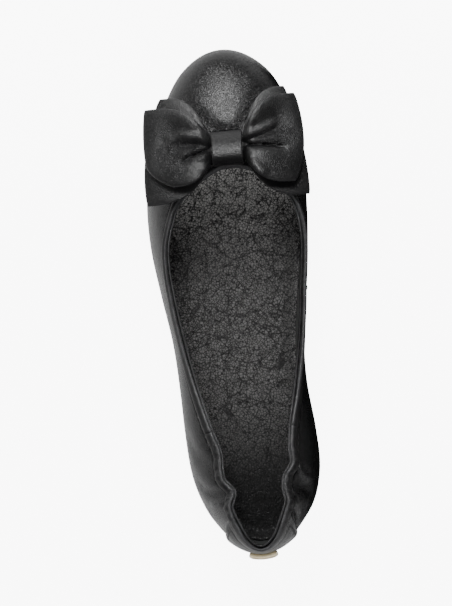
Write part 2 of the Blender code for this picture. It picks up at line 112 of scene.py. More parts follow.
def through(stations: Array, values: Array, at: Array) -> Array:
    """Smooth curve through a table's values, level at and beyond its two ends.

    Between two stations it is the cubic that has the table's own slopes there.

    Args:
        stations: Where the values are given, rising.
        values: The values.
        at: Where the curve is wanted.

    Returns:
        The curve's values.
    """
    slopes = np.gradient(values, stations)
    slopes[0] = slopes[-1] = 0.0
    at = np.clip(at, stations[0], stations[-1])
    low = np.clip(np.searchsorted(stations, at) - 1, 0, len(stations) - 2)
    step = stations[low + 1] - stations[low]
    t = (at - stations[low]) / step
    return (
        (2 * t**3 - 3 * t**2 + 1) * values[low]
        + (t**3 - 2 * t**2 + t) * step * slopes[low]
        + (3 * t**2 - 2 * t**3) * values[low + 1]
        + (t**3 - t**2) * step * slopes[low + 1]
    )


def along_table(pairs: Pairs, at: Array) -> Array:
    """Smooth curve through a table of stations and values."""
    table = np.array(pairs)
    return through(table[:, 0], table[:, 1], at)


def closed_curve(corners: Array, count: int) -> Array:
    """Smooth closed curve through a ring of corners, evenly spread between them.

    Each stretch is the cubic whose slope at a corner is half the step between its neighbours.

    Args:
        corners: The corners, one row each.
        count: How many points the curve gets.

    Returns:
        The curve's points, one row each.
    """
    at = np.arange(count) / count * len(corners)
    low = at.astype(int)
    t = (at - low)[:, None]
    before, start, end, after = (corners[(low + k) % len(corners)] for k in (-1, 0, 1, 2))
    return start + 0.5 * t * (
        end - before + t * (2 * before - 5 * start + 4 * end - after + t * (3 * (start - end) + after - before))
    )


def unit(vectors: Array) -> Array:
    """The vectors at length 1."""
    return vectors / np.maximum(np.linalg.norm(vectors, axis=-1, keepdims=True), 1e-12)


def path_distance(points: Array, path: Array) -> tuple[Array, Array]:
    """How far points lie from a path of straight pieces.

    Args:
        points: The points, in any number of dimensions.
        path: The path's corners.

    Returns:
        The distance to the path, and the share of its length at the nearest place.
    """
    starts = distances(path)
    lengths = np.diff(starts)
    nearest = np.full(points.shape[:-1], np.inf)
    share = np.zeros(points.shape[:-1])
    for start, end, length, before in zip(path, path[1:], lengths, starts):
        along = np.clip(((points - start) @ (end - start)) / length**2, 0.0, 1.0)
        away = np.linalg.norm(points - start - along[..., None] * (end - start), axis=-1)
        closer = away < nearest
        nearest = np.where(closer, away, nearest)
        share = np.where(closer, (before + along * length) / starts[-1], share)
    return nearest, share


@dataclass(frozen=True)
class Fold:
    """A soft trough drawn into the leather along a path, or a ridge where its depth is negative.

    It fades to nothing at both ends, or starts at full depth where its start is open, and rises
    slightly on both sides, as pressed leather does.
    """

    path: Pairs
    width: float
    depth: float
    open_start: bool = False

    def height(self, points: Array, path: Array) -> Array:
        """Height that the fold adds at each point.

        Formula: minus the depth times 1.2 of a hump of the distance less 0.2 of a wider one,
        faded over the ends of the path.

        Args:
            points: The points.
            path: Corners of the fold's path, in the points' own measure.

        Returns:
            The heights.
        """
        distance, share = path_distance(points, path)
        fade = ease((1 - share) / 0.3)
        if not self.open_start:
            fade = fade * ease(share / 0.3)
        hump = 1.2 * bell(distance, self.width) - 0.2 * bell(distance, 2.2 * self.width)
        return -self.depth * fade * hump


@dataclass
class Shape:
    """A closed surface: points, quads and the values that change over it."""

    points: Array
    faces: Array
    values: dict[str, Array] = field(default_factory=dict)

    def outward_faces(self) -> Array:
        """The quads, turned where needed so that they face out of the closed surface."""
        a, b, c, d = (self.points[self.faces[:, k]] for k in range(4))
        volume = np.sum(a * np.cross(b, c)) + np.sum(a * np.cross(c, d))
        return self.faces if volume > 0 else self.faces[:, ::-1]


def grid_quads(rows: int, columns: int, rows_close: bool, columns_close: bool) -> Array:
    """Quads of a grid whose vertex in row i and column j has the number i times columns plus j.

    Args:
        rows: Number of rows.
        columns: Number of columns.
        rows_close: Whether the last row joins the first.
        columns_close: Whether the last column joins the first.

    Returns:
        One row of four vertex numbers for each quad.
    """
    i = np.arange(rows if rows_close else rows - 1)[:, None]
    j = np.arange(columns if columns_close else columns - 1)[None, :]
    below, beside = (i + 1) % rows, (j + 1) % columns
    corners = (i * columns + j, i * columns + beside, below * columns + beside, below * columns + j)
    return np.stack(np.broadcast_arrays(*corners), -1).reshape(-1, 4)


def rungs(ring: Array) -> Array:
    """Quads that close an even ring of vertices, like the rungs of a ladder across it."""
    half = len(ring) // 2
    k = np.arange(half - 1)
    return np.stack([ring[k], ring[k + 1], ring[-k - 2], ring[-k - 1]], -1)


def flattened(values: dict[str, Array], size: tuple[int, int]) -> dict[str, Array]:
    """Values that change over a grid, one for each of its points."""
    return {name: np.broadcast_to(value, size).ravel() for name, value in values.items()}


def torus(grid: Array, **values: Array) -> Shape:
    """A grid of points that closes on itself both ways."""
    size = grid.shape[:2]
    return Shape(grid.reshape(-1, 3), grid_quads(*size, True, True), flattened(values, size))


def tube(grid: Array, **values: Array) -> Shape:
    """A row of closed rings of points, closed at both ends by rungs."""
    rows, columns = size = grid.shape[:2]
    first = np.arange(columns)
    ends = rungs(first)[:, ::-1], rungs(first + (rows - 1) * columns)
    faces = np.concatenate([grid_quads(*size, False, True), *ends])
    return Shape(grid.reshape(-1, 3), faces, flattened(values, size))


def pillow(rings: Array, **values: Array) -> Shape:
    """A body made of rings from its lower face to its upper face.

    The first and the last ring are pressed flat, so that the points on their two sides meet
    on a line, and those points are joined there.
    """
    rows, columns = size = rings.shape[:2]
    number = np.arange(rows * columns)
    j = np.arange(columns)
    partner = np.minimum(j, (columns - j) % columns)
    for row in (0, rows - 1):
        number[row * columns:(row + 1) * columns] = row * columns + partner
    kept, faces = np.unique(number[grid_quads(*size, False, True)], return_inverse=True)
    over = {name: value[kept] for name, value in flattened(values, size).items()}
    return Shape(rings.reshape(-1, 3)[kept], faces.reshape(-1, 4), over)


def place_object(name: str, data: bpy.types.ID, matrix: Matrix | None = None) -> bpy.types.Object:
    """Adds an object to the scene.

    Args:
        name: Its name.
        data: Its mesh, light or camera.
        matrix: Where it stands; at the origin without one.

    Returns:
        The object.
    """
    made = bpy.data.objects.new(name, data)
    bpy.context.scene.collection.objects.link(made)
    if matrix is not None:
        made.matrix_world = matrix
    return made


def share_at(angle: Array) -> Array:
    """Share of a loop's length that lies behind an angle."""
    return (1 - np.cos(angle)) / 2


@dataclass(frozen=True)
class Table:
    """Rows of shares under named columns, at rising stations from 0 to 1."""

    columns: tuple[str, ...]
    rows: tuple[tuple[float, ...], ...]

    def column(self, name: str) -> Array:
        """All the values of a column."""
        return np.array(self.rows)[:, self.columns.index(name)]

    def at(self, name: str, share: Array) -> Array:
        """A column's value at any station."""
        return through(self.column("station"), self.column(name), share)

    def outline(self, angle: Array) -> Array:
        """Distance out to the medial side: a circle's, filled out by the table's two sides."""
        stations = self.column("station")
        circle = np.sqrt(4 * stations * (1 - stations))
        share = share_at(angle)
        medial, lateral = (through(stations, self.column(side) / circle, share) for side in ("medial", "lateral"))
        return np.sin(angle) * np.where(np.sin(angle) > 0, medial, lateral)


@dataclass
class Last:
    """The shoe's form: the loops that the upper, the sole and the topline follow.

    The sizes and tables are those of the solid model. Rows give a station along the last or
    the opening first, then shares of the named sizes.
    """

    length: float = 242.7 * MM
    ball_width: float = 77.8 * MM
    feather_inset: float = 4.0 * MM
    swell_height: float = 14.0 * MM
    quarter_height: float = 44.5 * MM
    opening_back: float = 1.8 * MM
    opening_length: float = 182.6 * MM
    opening_width: float = 69.5 * MM
    opening_lean: float = 0.25
    heel_height: float = 10.0 * MM
    heel_length: float = 54.0 * MM
    flat_back: float = 145.0 * MM
    flat_front: float = 190.0 * MM
    toe_spring: float = 7.0 * MM
    sole_thickness: float = 3.5 * MM
    gap: float = 0.3 * MM
    bow_from_throat: float = 8.7 * MM
    form: Table = Table((
        "station", "lateral", "medial", "inset_lateral", "inset_medial", "swell", "in_share", "up_share",
    ), (
        (0.020, 0.171, 0.173, 0.85, 0.85, 0.95, 0.30, 0.60),
        (0.040, 0.232, 0.236, 0.85, 0.85, 0.95, 0.30, 0.60),
        (0.080, 0.320, 0.328, 0.85, 0.85, 0.95, 0.30, 0.60),
        (0.140, 0.391, 0.388, 0.90, 0.90, 0.95, 0.30, 0.60),
        (0.230, 0.423, 0.390, 0.95, 1.10, 0.98, 0.30, 0.60),
        (0.320, 0.432, 0.360, 1.00, 1.40, 1.05, 0.30, 0.60),
        (0.420, 0.452, 0.365, 1.00, 1.60, 1.10, 0.30, 0.60),
        (0.520, 0.502, 0.407, 0.95, 1.35, 1.05, 0.30, 0.60),
        (0.620, 0.544, 0.442, 0.85, 0.95, 1.00, 0.32, 0.60),
        (0.700, 0.546, 0.454, 0.80, 0.80, 0.95, 0.35, 0.60),
        (0.780, 0.514, 0.450, 0.70, 0.70, 0.88, 0.38, 0.61),
        (0.860, 0.442, 0.406, 0.55, 0.55, 0.78, 0.41, 0.64),
        (0.920, 0.349, 0.346, 0.45, 0.45, 0.65, 0.42, 0.67),
        (0.965, 0.245, 0.246, 0.40, 0.40, 0.55, 0.42, 0.70),
    ))
    opening: Table = Table(("station", "lateral", "medial", "height"), (
        (0.020, 0.088, 0.088, 1.000),
        (0.061, 0.143, 0.145, 0.992),
        (0.091, 0.174, 0.176, 0.980),
        (0.122, 0.188, 0.203, 0.965),
        (0.157, 0.156, 0.187, 0.945),
        (0.187, 0.218, 0.200, 0.928),
        (0.215, 0.228, 0.252, 0.910),
        (0.258, 0.227, 0.254, 0.885),
        (0.314, 0.274, 0.274, 0.855),
        (0.395, 0.336, 0.328, 0.815),
        (0.496, 0.402, 0.388, 0.795),
        (0.600, 0.453, 0.428, 0.812),
        (0.670, 0.477, 0.447, 0.838),
        (0.735, 0.491, 0.469, 0.862),
        (0.800, 0.485, 0.481, 0.885),
        (0.860, 0.441, 0.461, 0.905),
        (0.910, 0.380, 0.405, 0.920),
        (0.960, 0.240, 0.268, 0.930),
        (0.985, 0.130, 0.160, 0.933),
    ))
    shift: Array = field(default_factory=lambda: np.zeros(3))

    def seat(self) -> None:
        """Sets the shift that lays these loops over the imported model, from where its knot is."""
        low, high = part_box("bow_knot")
        self.shift = np.array([(low[0] + high[0]) / 2, (low[1] + high[1]) / 2 - self.bow_middle(), 0.0])

    def bow_middle(self) -> float:
        """Distance of the bow's middle along the last."""
        return self.opening_back + self.opening_length + self.bow_from_throat

    def bed_height(self, y: Array) -> Array:
        """Height of the sole's upper face: raised at the heel, level at the ball, sprung at the toe."""
        arch = ease((self.flat_back - y) / (self.flat_back - self.heel_length - self.gap))
        spring = np.clip((y - self.flat_front) / (self.length - self.flat_front), 0.0, None)
        return self.sole_thickness + self.heel_height * arch + self.toe_spring * spring**2

    def widest(self, angle: Array) -> Array:
        """Outline of the last seen from above."""
        share = share_at(angle)
        x = self.form.outline(angle) * self.ball_width
        y = self.length * share
        return np.stack([x, y, self.bed_height(y) + self.swell_height * self.form.at("swell", share)], -1)

    def feather_outline(self, angle: Array) -> Array:
        """Outline where the upper meets the sole, seen from above."""
        share = share_at(angle)
        sides = self.form.at("inset_medial", share), self.form.at("inset_lateral", share)
        inset = self.feather_inset * np.where(np.sin(angle) > 0, *sides)
        back, front = self.feather_inset * self.form.at("inset_lateral", np.array([0.0, 1.0]))
        x = self.widest(angle)[..., 0] - inset * np.sin(angle)
        return np.stack([x, back + (self.length - back - front) * share], -1)

    def feather(self, angle: Array, outset: Array | float = 0.0) -> Array:
        """The featherline on the sole's upper face, moved outwards by a distance."""
        nudge = 1e-4
        tangent = unit(self.feather_outline(angle + nudge) - self.feather_outline(angle - nudge))
        outline = self.feather_outline(angle)
        x = outline[..., 0] + outset * tangent[..., 1]
        y = outline[..., 1] - outset * tangent[..., 0]
        return np.stack([x, y, self.bed_height(y)], -1)

    def topline(self, angle: Array) -> Array:
        """Outer edge of the opening, leaning forward of the loops below it along the sides."""
        turned = angle + self.opening_lean * np.sin(angle)
        share = share_at(turned)
        x = self.opening.outline(turned) * self.opening_width
        y = self.opening_back + self.opening_length * share
        return np.stack([x, y, self.bed_height(y) + self.quarter_height * self.opening.at("height", share)], -1)

    def loops(self, angle: Array) -> tuple[Array, Array, Array, Array]:
        """The four loops that the upper passes through, from the sole up."""
        share = share_at(angle)
        feather = self.feather(angle)
        feather[..., 2] += self.gap
        widest = self.widest(angle)
        topline = self.topline(angle)
        inwards = self.form.at("in_share", share)
        shares = np.stack([inwards, inwards, self.form.at("up_share", share)], -1)
        return feather, widest, widest + (topline - widest) * shares, topline

    @staticmethod
    def steps_between(loops: tuple[Array, ...]) -> list[Array]:
        """Straight distances from each loop to the next."""
        return [np.linalg.norm(b - a, axis=-1) for a, b in zip(loops, loops[1:])]

    def wall_length(self, angle: Array) -> Array:
        """Length of the upper's wall from featherline to topline."""
        return sum(self.steps_between(self.loops(angle)))

    def below(self, angle: Array, drop: Array) -> Array:
        """Share of the way up the wall of what lies a distance below the topline."""
        return 1 - drop / self.wall_length(angle)

    def wall_point(self, angle: Array, rise: Array) -> Array:
        """Outer face of the upper: the cubic through the four loops, at a share of the way up."""
        loops = self.loops(np.asarray(angle, float))
        steps = self.steps_between(loops)
        total = sum(steps)
        knots = [np.zeros_like(total), steps[0] / total, (steps[0] + steps[1]) / total, np.ones_like(total)]
        point = 0.0
        for i, loop in enumerate(loops):
            weight = np.ones_like(total * rise)
            for j, knot in enumerate(knots):
                if j != i:
                    weight = weight * (rise - knot) / (knots[i] - knot)
            point = point + weight[..., None] * loop
        return point

    def wall_normal(self, angle: Array, rise: Array) -> Array:
        """Unit normal of the upper's outer face, pointing out of the shoe."""
        nudge = 1e-4
        along = self.wall_point(angle + nudge, rise) - self.wall_point(angle - nudge, rise)
        up = self.wall_point(angle, rise + nudge) - self.wall_point(angle, rise - nudge)
        return unit(np.cross(along, up))

    def offset_wall(self, angle: Array, rise: Array, outwards: Array) -> Array:
        """The upper's own surface moved outwards along its normal."""
        outwards = np.asarray(outwards, float)
        return self.wall_point(angle, rise) + self.wall_normal(angle, rise) * outwards[..., None]

    def placed(self, points: Array) -> Array:
        """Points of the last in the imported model's frame."""
        return points + self.shift

    @staticmethod
    def spread(count: int) -> Array:
        """Angles all round the shoe, closer together at the heel than along the sides."""
        even = np.arange(count) / count * TURN
        return even + 0.18 * np.sin(2 * even) - 0.15 * np.sin(even)


class Nodes:
    """Adds and joins nodes in one tree."""

    def __init__(self, tree: bpy.types.NodeTree) -> None:
        """Starts on a tree."""
        self.tree = tree

    def add(self, kind: str, **values: object) -> bpy.types.Node:
        """Adds a node.

        Args:
            kind: Type of the node, without its ShaderNode prefix.
            values: Its settings; a value of a socket is given by the socket's number as in_0.

        Returns:
            The node.
        """
        node = self.tree.nodes.new(kind if kind.startswith("Node") else f"ShaderNode{kind}")
        for key, value in values.items():
            if not key.startswith("in_"):
                setattr(node, key, value)
        for key, value in values.items():
            if key.startswith("in_"):
                self.give(node.inputs[int(key[3:])], value)
        return node

    def give(self, socket: bpy.types.NodeSocket, value: object) -> None:
        """Links another socket to this one, or sets its own value."""
        if isinstance(value, bpy.types.NodeSocket):
            self.tree.links.new(value, socket)
        else:
            socket.default_value = value

    def fill(self, node: bpy.types.Node, values: dict[str, object]) -> None:
        """Gives several of a node's sockets a link or a value, by their names."""
        for name, value in values.items():
            self.give(node.inputs[name], value)

    def math(self, operation: str, first: object, second: object) -> bpy.types.NodeSocket:
        """Output of a Math node."""
        return self.add("Math", operation=operation, in_0=first, in_1=second).outputs[0]

    def times(self, first: object, second: object) -> bpy.types.NodeSocket:
        """One value times another."""
        return self.math("MULTIPLY", first, second)

    def plus(self, first: object, second: object) -> bpy.types.NodeSocket:
        """One value plus another."""
        return self.math("ADD", first, second)

    def less(self, first: object, second: object) -> bpy.types.NodeSocket:
        """One value less another."""
        return self.math("SUBTRACT", first, second)

    def noise(self, place: object, scale: object, detail: float = 2.0) -> bpy.types.Node:
        """A noise: its scale in waves a metre, and how many finer waves lie on it."""
        return self.add("TexNoise", in_0=place, in_2=scale, in_3=detail)

    def between(self, value: object, low: float, high: float, to_low: float, to_high: float) -> bpy.types.NodeSocket:
        """A value carried from one range to another, smoothly and held at its ends."""
        node = self.add("MapRange", interpolation_type="SMOOTHSTEP", clamp=True)
        for number, given in enumerate((value, low, high, to_low, to_high)):
            self.give(node.inputs[number], given)
        return node.outputs[0]

    def mix(self, share: object, first: object, second: object) -> bpy.types.NodeSocket:
        """Colour between two colours."""
        node = self.add("Mix", data_type="RGBA")
        for place, given in ((0, share), (6, first), (7, second)):
            self.give(node.inputs[place], given)
        return node.outputs[2]

    def attribute(self, name: str) -> bpy.types.NodeSocket:
        """A value that the mesh carries."""
        return self.add("Attribute", attribute_name=name).outputs["Fac"]


@dataclass(frozen=True)
class Effect:
    """A shader group that several finishes share: its name, its inputs and its outputs."""

    name: str
    inputs: tuple[tuple[str, float], ...]
    outputs: tuple[str, ...]

    def group(self) -> bpy.types.NodeTree:
        """The group itself, built the first time that it is asked for."""
        made = bpy.data.node_groups.get(self.name)
        if made is None:
            made = bpy.data.node_groups.new(self.name, "ShaderNodeTree")
            made.interface.new_socket("Vector", in_out="INPUT", socket_type="NodeSocketVector")
            for label, value in self.inputs:
                made.interface.new_socket(label, in_out="INPUT", socket_type="NodeSocketFloat").default_value = value
            for label in self.outputs:
                made.interface.new_socket(label, in_out="OUTPUT", socket_type="NodeSocketFloat")
            nodes = Nodes(made)
            ends = nodes.add("NodeGroupInput"), nodes.add("NodeGroupOutput")
            self.fill(nodes, *ends)
        return made

    def fill(self, nodes: Nodes, start: bpy.types.Node, end: bpy.types.Node) -> None:
        """Joins the group's inputs to its outputs."""
        raise NotImplementedError

    def place(self, nodes: Nodes, vector: bpy.types.NodeSocket, **values: float) -> bpy.types.Node:
        """Puts the group into a material.

        Args:
            nodes: The material's nodes.
            vector: The coordinates that it reads.
            values: Its inputs, by their names in lower case.

        Returns:
            The group's node.
        """
        node = nodes.add("Group", node_tree=self.group(), in_0=vector)
        for socket in list(node.inputs)[1:]:
            if socket.name.lower() in values:
                nodes.give(socket, values[socket.name.lower()])
        return node


@dataclass(frozen=True)
class Grain(Effect):
    """Leather grain: rounded cells parted by fine furrows, uneven in size."""

    name: str = "leather_grain"
    inputs: tuple[tuple[str, float], ...] = (("Size", 0.7 * MM), ("Furrow", 0.35))
    outputs: tuple[str, ...] = ("Height", "Furrows")

    def fill(self, nodes: Nodes, start: bpy.types.Node, end: bpy.types.Node) -> None:
        """Height is the distance to the nearest cell wall, blended with a finer noise."""
        place, size = start.outputs["Vector"], start.outputs["Size"]
        per_metre = nodes.math("DIVIDE", 1.0, size)
        wander = nodes.noise(place, nodes.times(per_metre, 0.35))
        shift = nodes.add("VectorMath", operation="SCALE", in_0=wander.outputs["Color"])
        nodes.give(shift.inputs["Scale"], nodes.times(size, 0.8))
        moved = nodes.add("VectorMath", operation="ADD", in_0=place, in_1=shift.outputs[0]).outputs[0]
        cells = nodes.add("TexVoronoi", feature="DISTANCE_TO_EDGE", in_0=moved, in_2=per_metre)
        fine = nodes.noise(moved, nodes.times(per_metre, 2.6))
        walls = nodes.between(cells.outputs["Distance"], 0.0, start.outputs["Furrow"], 0.0, 1.0)
        mixed = nodes.plus(nodes.times(walls, 0.7), nodes.times(fine.outputs[0], 0.3))
        nodes.fill(end, {"Height": mixed, "Furrows": nodes.less(1.0, walls)})


@dataclass(frozen=True)
class Unevenness(Effect):
    """Slow waves and slow changes of tone, as in a hide that was stretched over a last."""

    name: str = "unevenness"
    inputs: tuple[tuple[str, float], ...] = (("Size", 8 * MM),)
    outputs: tuple[str, ...] = ("Height", "Tone")

    def fill(self, nodes: Nodes, start: bpy.types.Node, end: bpy.types.Node) -> None:
        """Two noises, one three times as coarse as the other."""
        per_metre = nodes.math("DIVIDE", 1.0, start.outputs["Size"])
        waves = nodes.noise(start.outputs["Vector"], per_metre, 2.5)
        tone = nodes.noise(start.outputs["Vector"], nodes.math("DIVIDE", per_metre, 3.0))
        nodes.fill(end, {"Height": waves.outputs[0], "Tone": nodes.between(tone.outputs[0], 0.3, 0.7, 0.0, 1.0)})


@dataclass(frozen=True)
class Rub(Effect):
    """Where a surface is rubbed smooth: broken up along its edges and ridges."""

    name: str = "rubbed_edges"
    inputs: tuple[tuple[str, float], ...] = (("Edge", 0.0), ("Size", 2 * MM))
    outputs: tuple[str, ...] = ("Mask",)

    def fill(self, nodes: Nodes, start: bpy.types.Node, end: bpy.types.Node) -> None:
        """The edge value, cut back by a noise."""
        noise = nodes.noise(start.outputs["Vector"], nodes.math("DIVIDE", 1.0, start.outputs["Size"]), 3.0)
        kept = nodes.between(noise.outputs[0], 0.35, 0.65, 0.6, 1.0)
        nodes.give(end.inputs["Mask"], nodes.times(start.outputs["Edge"], kept))


@dataclass(frozen=True)
class Finish:
    """A finish of the shoe: a Principled shader with its own colours, gloss and relief."""

    name: str
    slot: Slot
    colour: Triple
    rubbed: Triple
    roughness: tuple[float, float]
    specular: float = 0.5
    metallic: float = 0.0
    sheen: float = 0.0

    def build(self) -> bpy.types.Material:
        """The material, with its painted colour and roughness and its bumps laid over each other."""
        made = bpy.data.materials.new(self.name)
        made.use_nodes = True
        nodes = Nodes(made.node_tree)
        colour, roughness, bumps = self.paint(nodes, nodes.add("TexCoord").outputs["Object"])
        normal = {}
        for height, depth in bumps:
            bump = nodes.add("Bump")
            nodes.fill(bump, {"Distance": depth, "Height": height, **normal})
            normal = {"Normal": bump.outputs[0]}
        nodes.fill(made.node_tree.nodes["Principled BSDF"], {
            "Base Color": colour, "Roughness": roughness, "Metallic": self.metallic,
            "Specular IOR Level": self.specular, "Sheen Weight": self.sheen, **normal,
        })
        return made

    def paint(self, nodes: Nodes, place: bpy.types.NodeSocket) -> tuple:
        """The finish's own nodes.

        Args:
            nodes: The material's nodes.
            place: The coordinates that they read.

        Returns:
            The colour, the roughness, and a height and depth for each bump, coarse ones first.
        """
        raise NotImplementedError

    def tint(self, nodes: Nodes, share: object) -> bpy.types.NodeSocket:
        """A colour from the finish's own to its rubbed one."""
        return nodes.mix(share, (*self.colour, 1.0), (*self.rubbed, 1.0))

    def gloss(self, nodes: Nodes, value: object, low: float = 0.0, high: float = 1.0) -> bpy.types.NodeSocket:
        """A roughness from the finish's first to its second, as a value goes from low to high."""
        return nodes.between(value, low, high, *self.roughness)

    @staticmethod
    def rub_mask(nodes: Nodes, place: bpy.types.NodeSocket, size: float) -> bpy.types.NodeSocket:
        """Where the mesh says that the surface is rubbed, broken up in patches of a size."""
        return Rub().place(nodes, place, edge=nodes.attribute("rub"), size=size).outputs["Mask"]


@dataclass(frozen=True)
class Leather(Finish):
    """Dyed leather with a grain, soft waves and rubbed edges."""

    grain_size: float = 0.7 * MM
    grain_depth: float = 0.06 * MM
    furrow: float = 0.35
    furrow_shade: float = 0.35
    furrow_roughness: float = 0.15
    rub_gloss: float = 0.06
    wave_size: float = 9 * MM
    wave_depth: float = 0.25 * MM
    slack_gain: float = 1.4

    def paint(self, nodes: Nodes, place: bpy.types.NodeSocket) -> tuple:
        """Darker in its furrows, lighter and glossier where it is rubbed, coarser where it is slack."""
        grain = Grain().place(nodes, place, size=self.grain_size, furrow=self.furrow)
        waves = Unevenness().place(nodes, place, size=self.wave_size)
        rub = self.rub_mask(nodes, place, 3 * MM)
        toned = self.tint(nodes, nodes.times(waves.outputs["Tone"], 0.1))
        worn = nodes.mix(rub, toned, (*self.rubbed, 1.0))
        furrows = nodes.times(grain.outputs["Furrows"], self.furrow_shade)
        dark = (*(part * 0.35 for part in self.colour), 1.0)
        gloss = nodes.less(self.gloss(nodes, waves.outputs["Tone"]), nodes.times(rub, self.rub_gloss))
        roughness = nodes.plus(gloss, nodes.times(furrows, self.furrow_roughness))
        stretched = nodes.plus(1.0, nodes.times(nodes.attribute("slack"), self.slack_gain))
        height = nodes.times(grain.outputs["Height"], stretched)
        bumps = (waves.outputs["Height"], self.wave_depth), (height, self.grain_depth)
        return nodes.mix(furrows, worn, dark), roughness, bumps


@dataclass(frozen=True)
class PebbledLeather(Finish):
    """Crumpled sock leather: dense small pebbles, crossed by long thin creases both ways."""

    pebble_size: float = 1.2 * MM
    pebble_depth: float = 0.22 * MM
    pebble_furrow: float = 0.19
    crease_size: float = 6.0 * MM
    crease_furrow: float = 0.055
    crease_stretch: Triple = (1.9, 0.8, 1.0)
    crease_slants: tuple[float, float] = (52.0, -38.0)

    def paint(self, nodes: Nodes, place: bpy.types.NodeSocket) -> tuple:
        """Dark furrows and creases, with tops between them that are lighter where the rub value is high: on the sock
        that is partly wear and partly painted light and shade along its length.
        """
        pebbles = Grain().place(nodes, place, size=self.pebble_size, furrow=self.pebble_furrow).outputs["Height"]
        waves = Unevenness().place(nodes, place, size=5 * MM)
        creases = 0.0
        for slant in self.crease_slants:
            turned = nodes.add("Mapping", vector_type="TEXTURE")
            turn = (0.0, 0.0, math.radians(slant))
            nodes.fill(turned, {"Vector": place, "Rotation": turn, "Scale": self.crease_stretch})
            lines = Grain().place(nodes, turned.outputs[0], size=self.crease_size, furrow=self.crease_furrow)
            creases = nodes.math("MAXIMUM", lines.outputs["Furrows"], creases)
        broken = nodes.times(creases, nodes.between(waves.outputs["Height"], 0.35, 0.60, 0.45, 1.0))
        tops = nodes.between(pebbles, 0.15, 0.72, 0.0, 1.0)
        open_tops = nodes.times(tops, nodes.less(1.0, nodes.times(broken, 0.85)))
        toned = nodes.times(open_tops, nodes.between(waves.outputs["Tone"], 0.0, 1.0, 0.92, 1.0))
        # The tops' lightness follows the rub value: on the sock this paints shade at the heel and light towards the
        # toe, over some wear.
        colour = self.tint(nodes, nodes.times(toned, nodes.attribute("rub")))
        roughness = nodes.between(open_tops, 0.0, 1.0, *self.roughness[::-1])
        height = nodes.plus(pebbles, nodes.times(broken, -0.8))
        return colour, roughness, ((waves.outputs["Height"], 0.3 * MM), (height, self.pebble_depth))


@dataclass(frozen=True)
class Elastic(Finish):
    """Knitted lining: fine ribs with a dull nap."""

    rib_width: float = 0.9 * MM

    def paint(self, nodes: Nodes, place: bpy.types.NodeSocket) -> tuple:
        """Ribs across the height, broken up by a fuzzy noise."""
        waves = Unevenness().place(nodes, place, size=6 * MM)
        wave = nodes.add("TexWave", wave_type="BANDS", bands_direction="Z", in_0=place, in_1=1 / self.rib_width / 6.3)
        wave.inputs["Distortion"].default_value = 1.2
        ribs = wave.outputs["Fac"]
        fuzz = nodes.noise(place, 2600.0, 3.0).outputs[0]
        colour = self.tint(nodes, nodes.times(ribs, nodes.between(fuzz, 0.3, 0.7, 0.4, 1.0)))
        knit = nodes.plus(ribs, nodes.times(fuzz, 0.6))
        bumps = (waves.outputs["Height"], 0.3 * MM), (knit, 0.12 * MM)
        return colour, self.gloss(nodes, waves.outputs["Tone"]), bumps


@dataclass(frozen=True)
class Rubber(Finish):
    """Moulded rubber with a dull skin, scuffed where it meets the floor."""

    tread: float = 2.2 * MM

    def paint(self, nodes: Nodes, place: bpy.types.NodeSocket) -> tuple:
        """A fine moulded skin, shallow ribs on the tread and grey scuffs."""
        skin = Grain().place(nodes, place, size=0.5 * MM, furrow=0.5)
        waves = Unevenness().place(nodes, place, size=12 * MM)
        rub = self.rub_mask(nodes, place, 4 * MM)
        colour = self.tint(nodes, nodes.plus(rub, nodes.times(waves.outputs["Tone"], 0.2)))
        ribs = nodes.add("TexWave", wave_type="BANDS", bands_direction="Y", in_0=place, in_1=1 / self.tread / 6.3)
        tread = nodes.times(nodes.between(ribs.outputs["Fac"], 0.2, 0.5, 0.0, 1.0), nodes.attribute("tread"))
        return colour, self.gloss(nodes, rub), ((tread, 0.5 * MM), (skin.outputs["Height"], 0.04 * MM))


@dataclass(frozen=True)
class Gold(Finish):
    """Pale gold plating, brushed lengthways, brighter along its rubbed edges."""

    def paint(self, nodes: Nodes, place: bpy.types.NodeSocket) -> tuple:
        """Fine brush lines, small pits and bright edges."""
        stretched = nodes.add("Mapping")
        nodes.fill(stretched, {"Vector": place, "Scale": (0.06, 1.0, 1.0)})
        lines = nodes.noise(stretched.outputs[0], 5200.0).outputs[0]
        waves = Unevenness().place(nodes, place, size=3 * MM)
        rub = self.rub_mask(nodes, place, 1 * MM)
        lit = nodes.math("MAXIMUM", rub, nodes.times(waves.outputs["Tone"], 0.5))
        bumps = (waves.outputs["Height"], 0.04 * MM), (lines, 0.012 * MM)
        return self.tint(nodes, lit), self.gloss(nodes, lines, 0.3, 0.7), bumps


@dataclass(frozen=True)
class Thread(Finish):
    """Waxed sewing thread with a fine twist."""

    def paint(self, nodes: Nodes, place: bpy.types.NodeSocket) -> tuple:
        """Slanting twist lines and a soft wax gloss."""
        twist = nodes.add("TexWave", bands_direction="DIAGONAL", in_0=place, in_1=420.0).outputs["Fac"]
        waves = Unevenness().place(nodes, place, size=2 * MM)
        colour = self.tint(nodes, nodes.times(twist, waves.outputs["Tone"]))
        return colour, self.gloss(nodes, twist), ((twist, 0.05 * MM),)


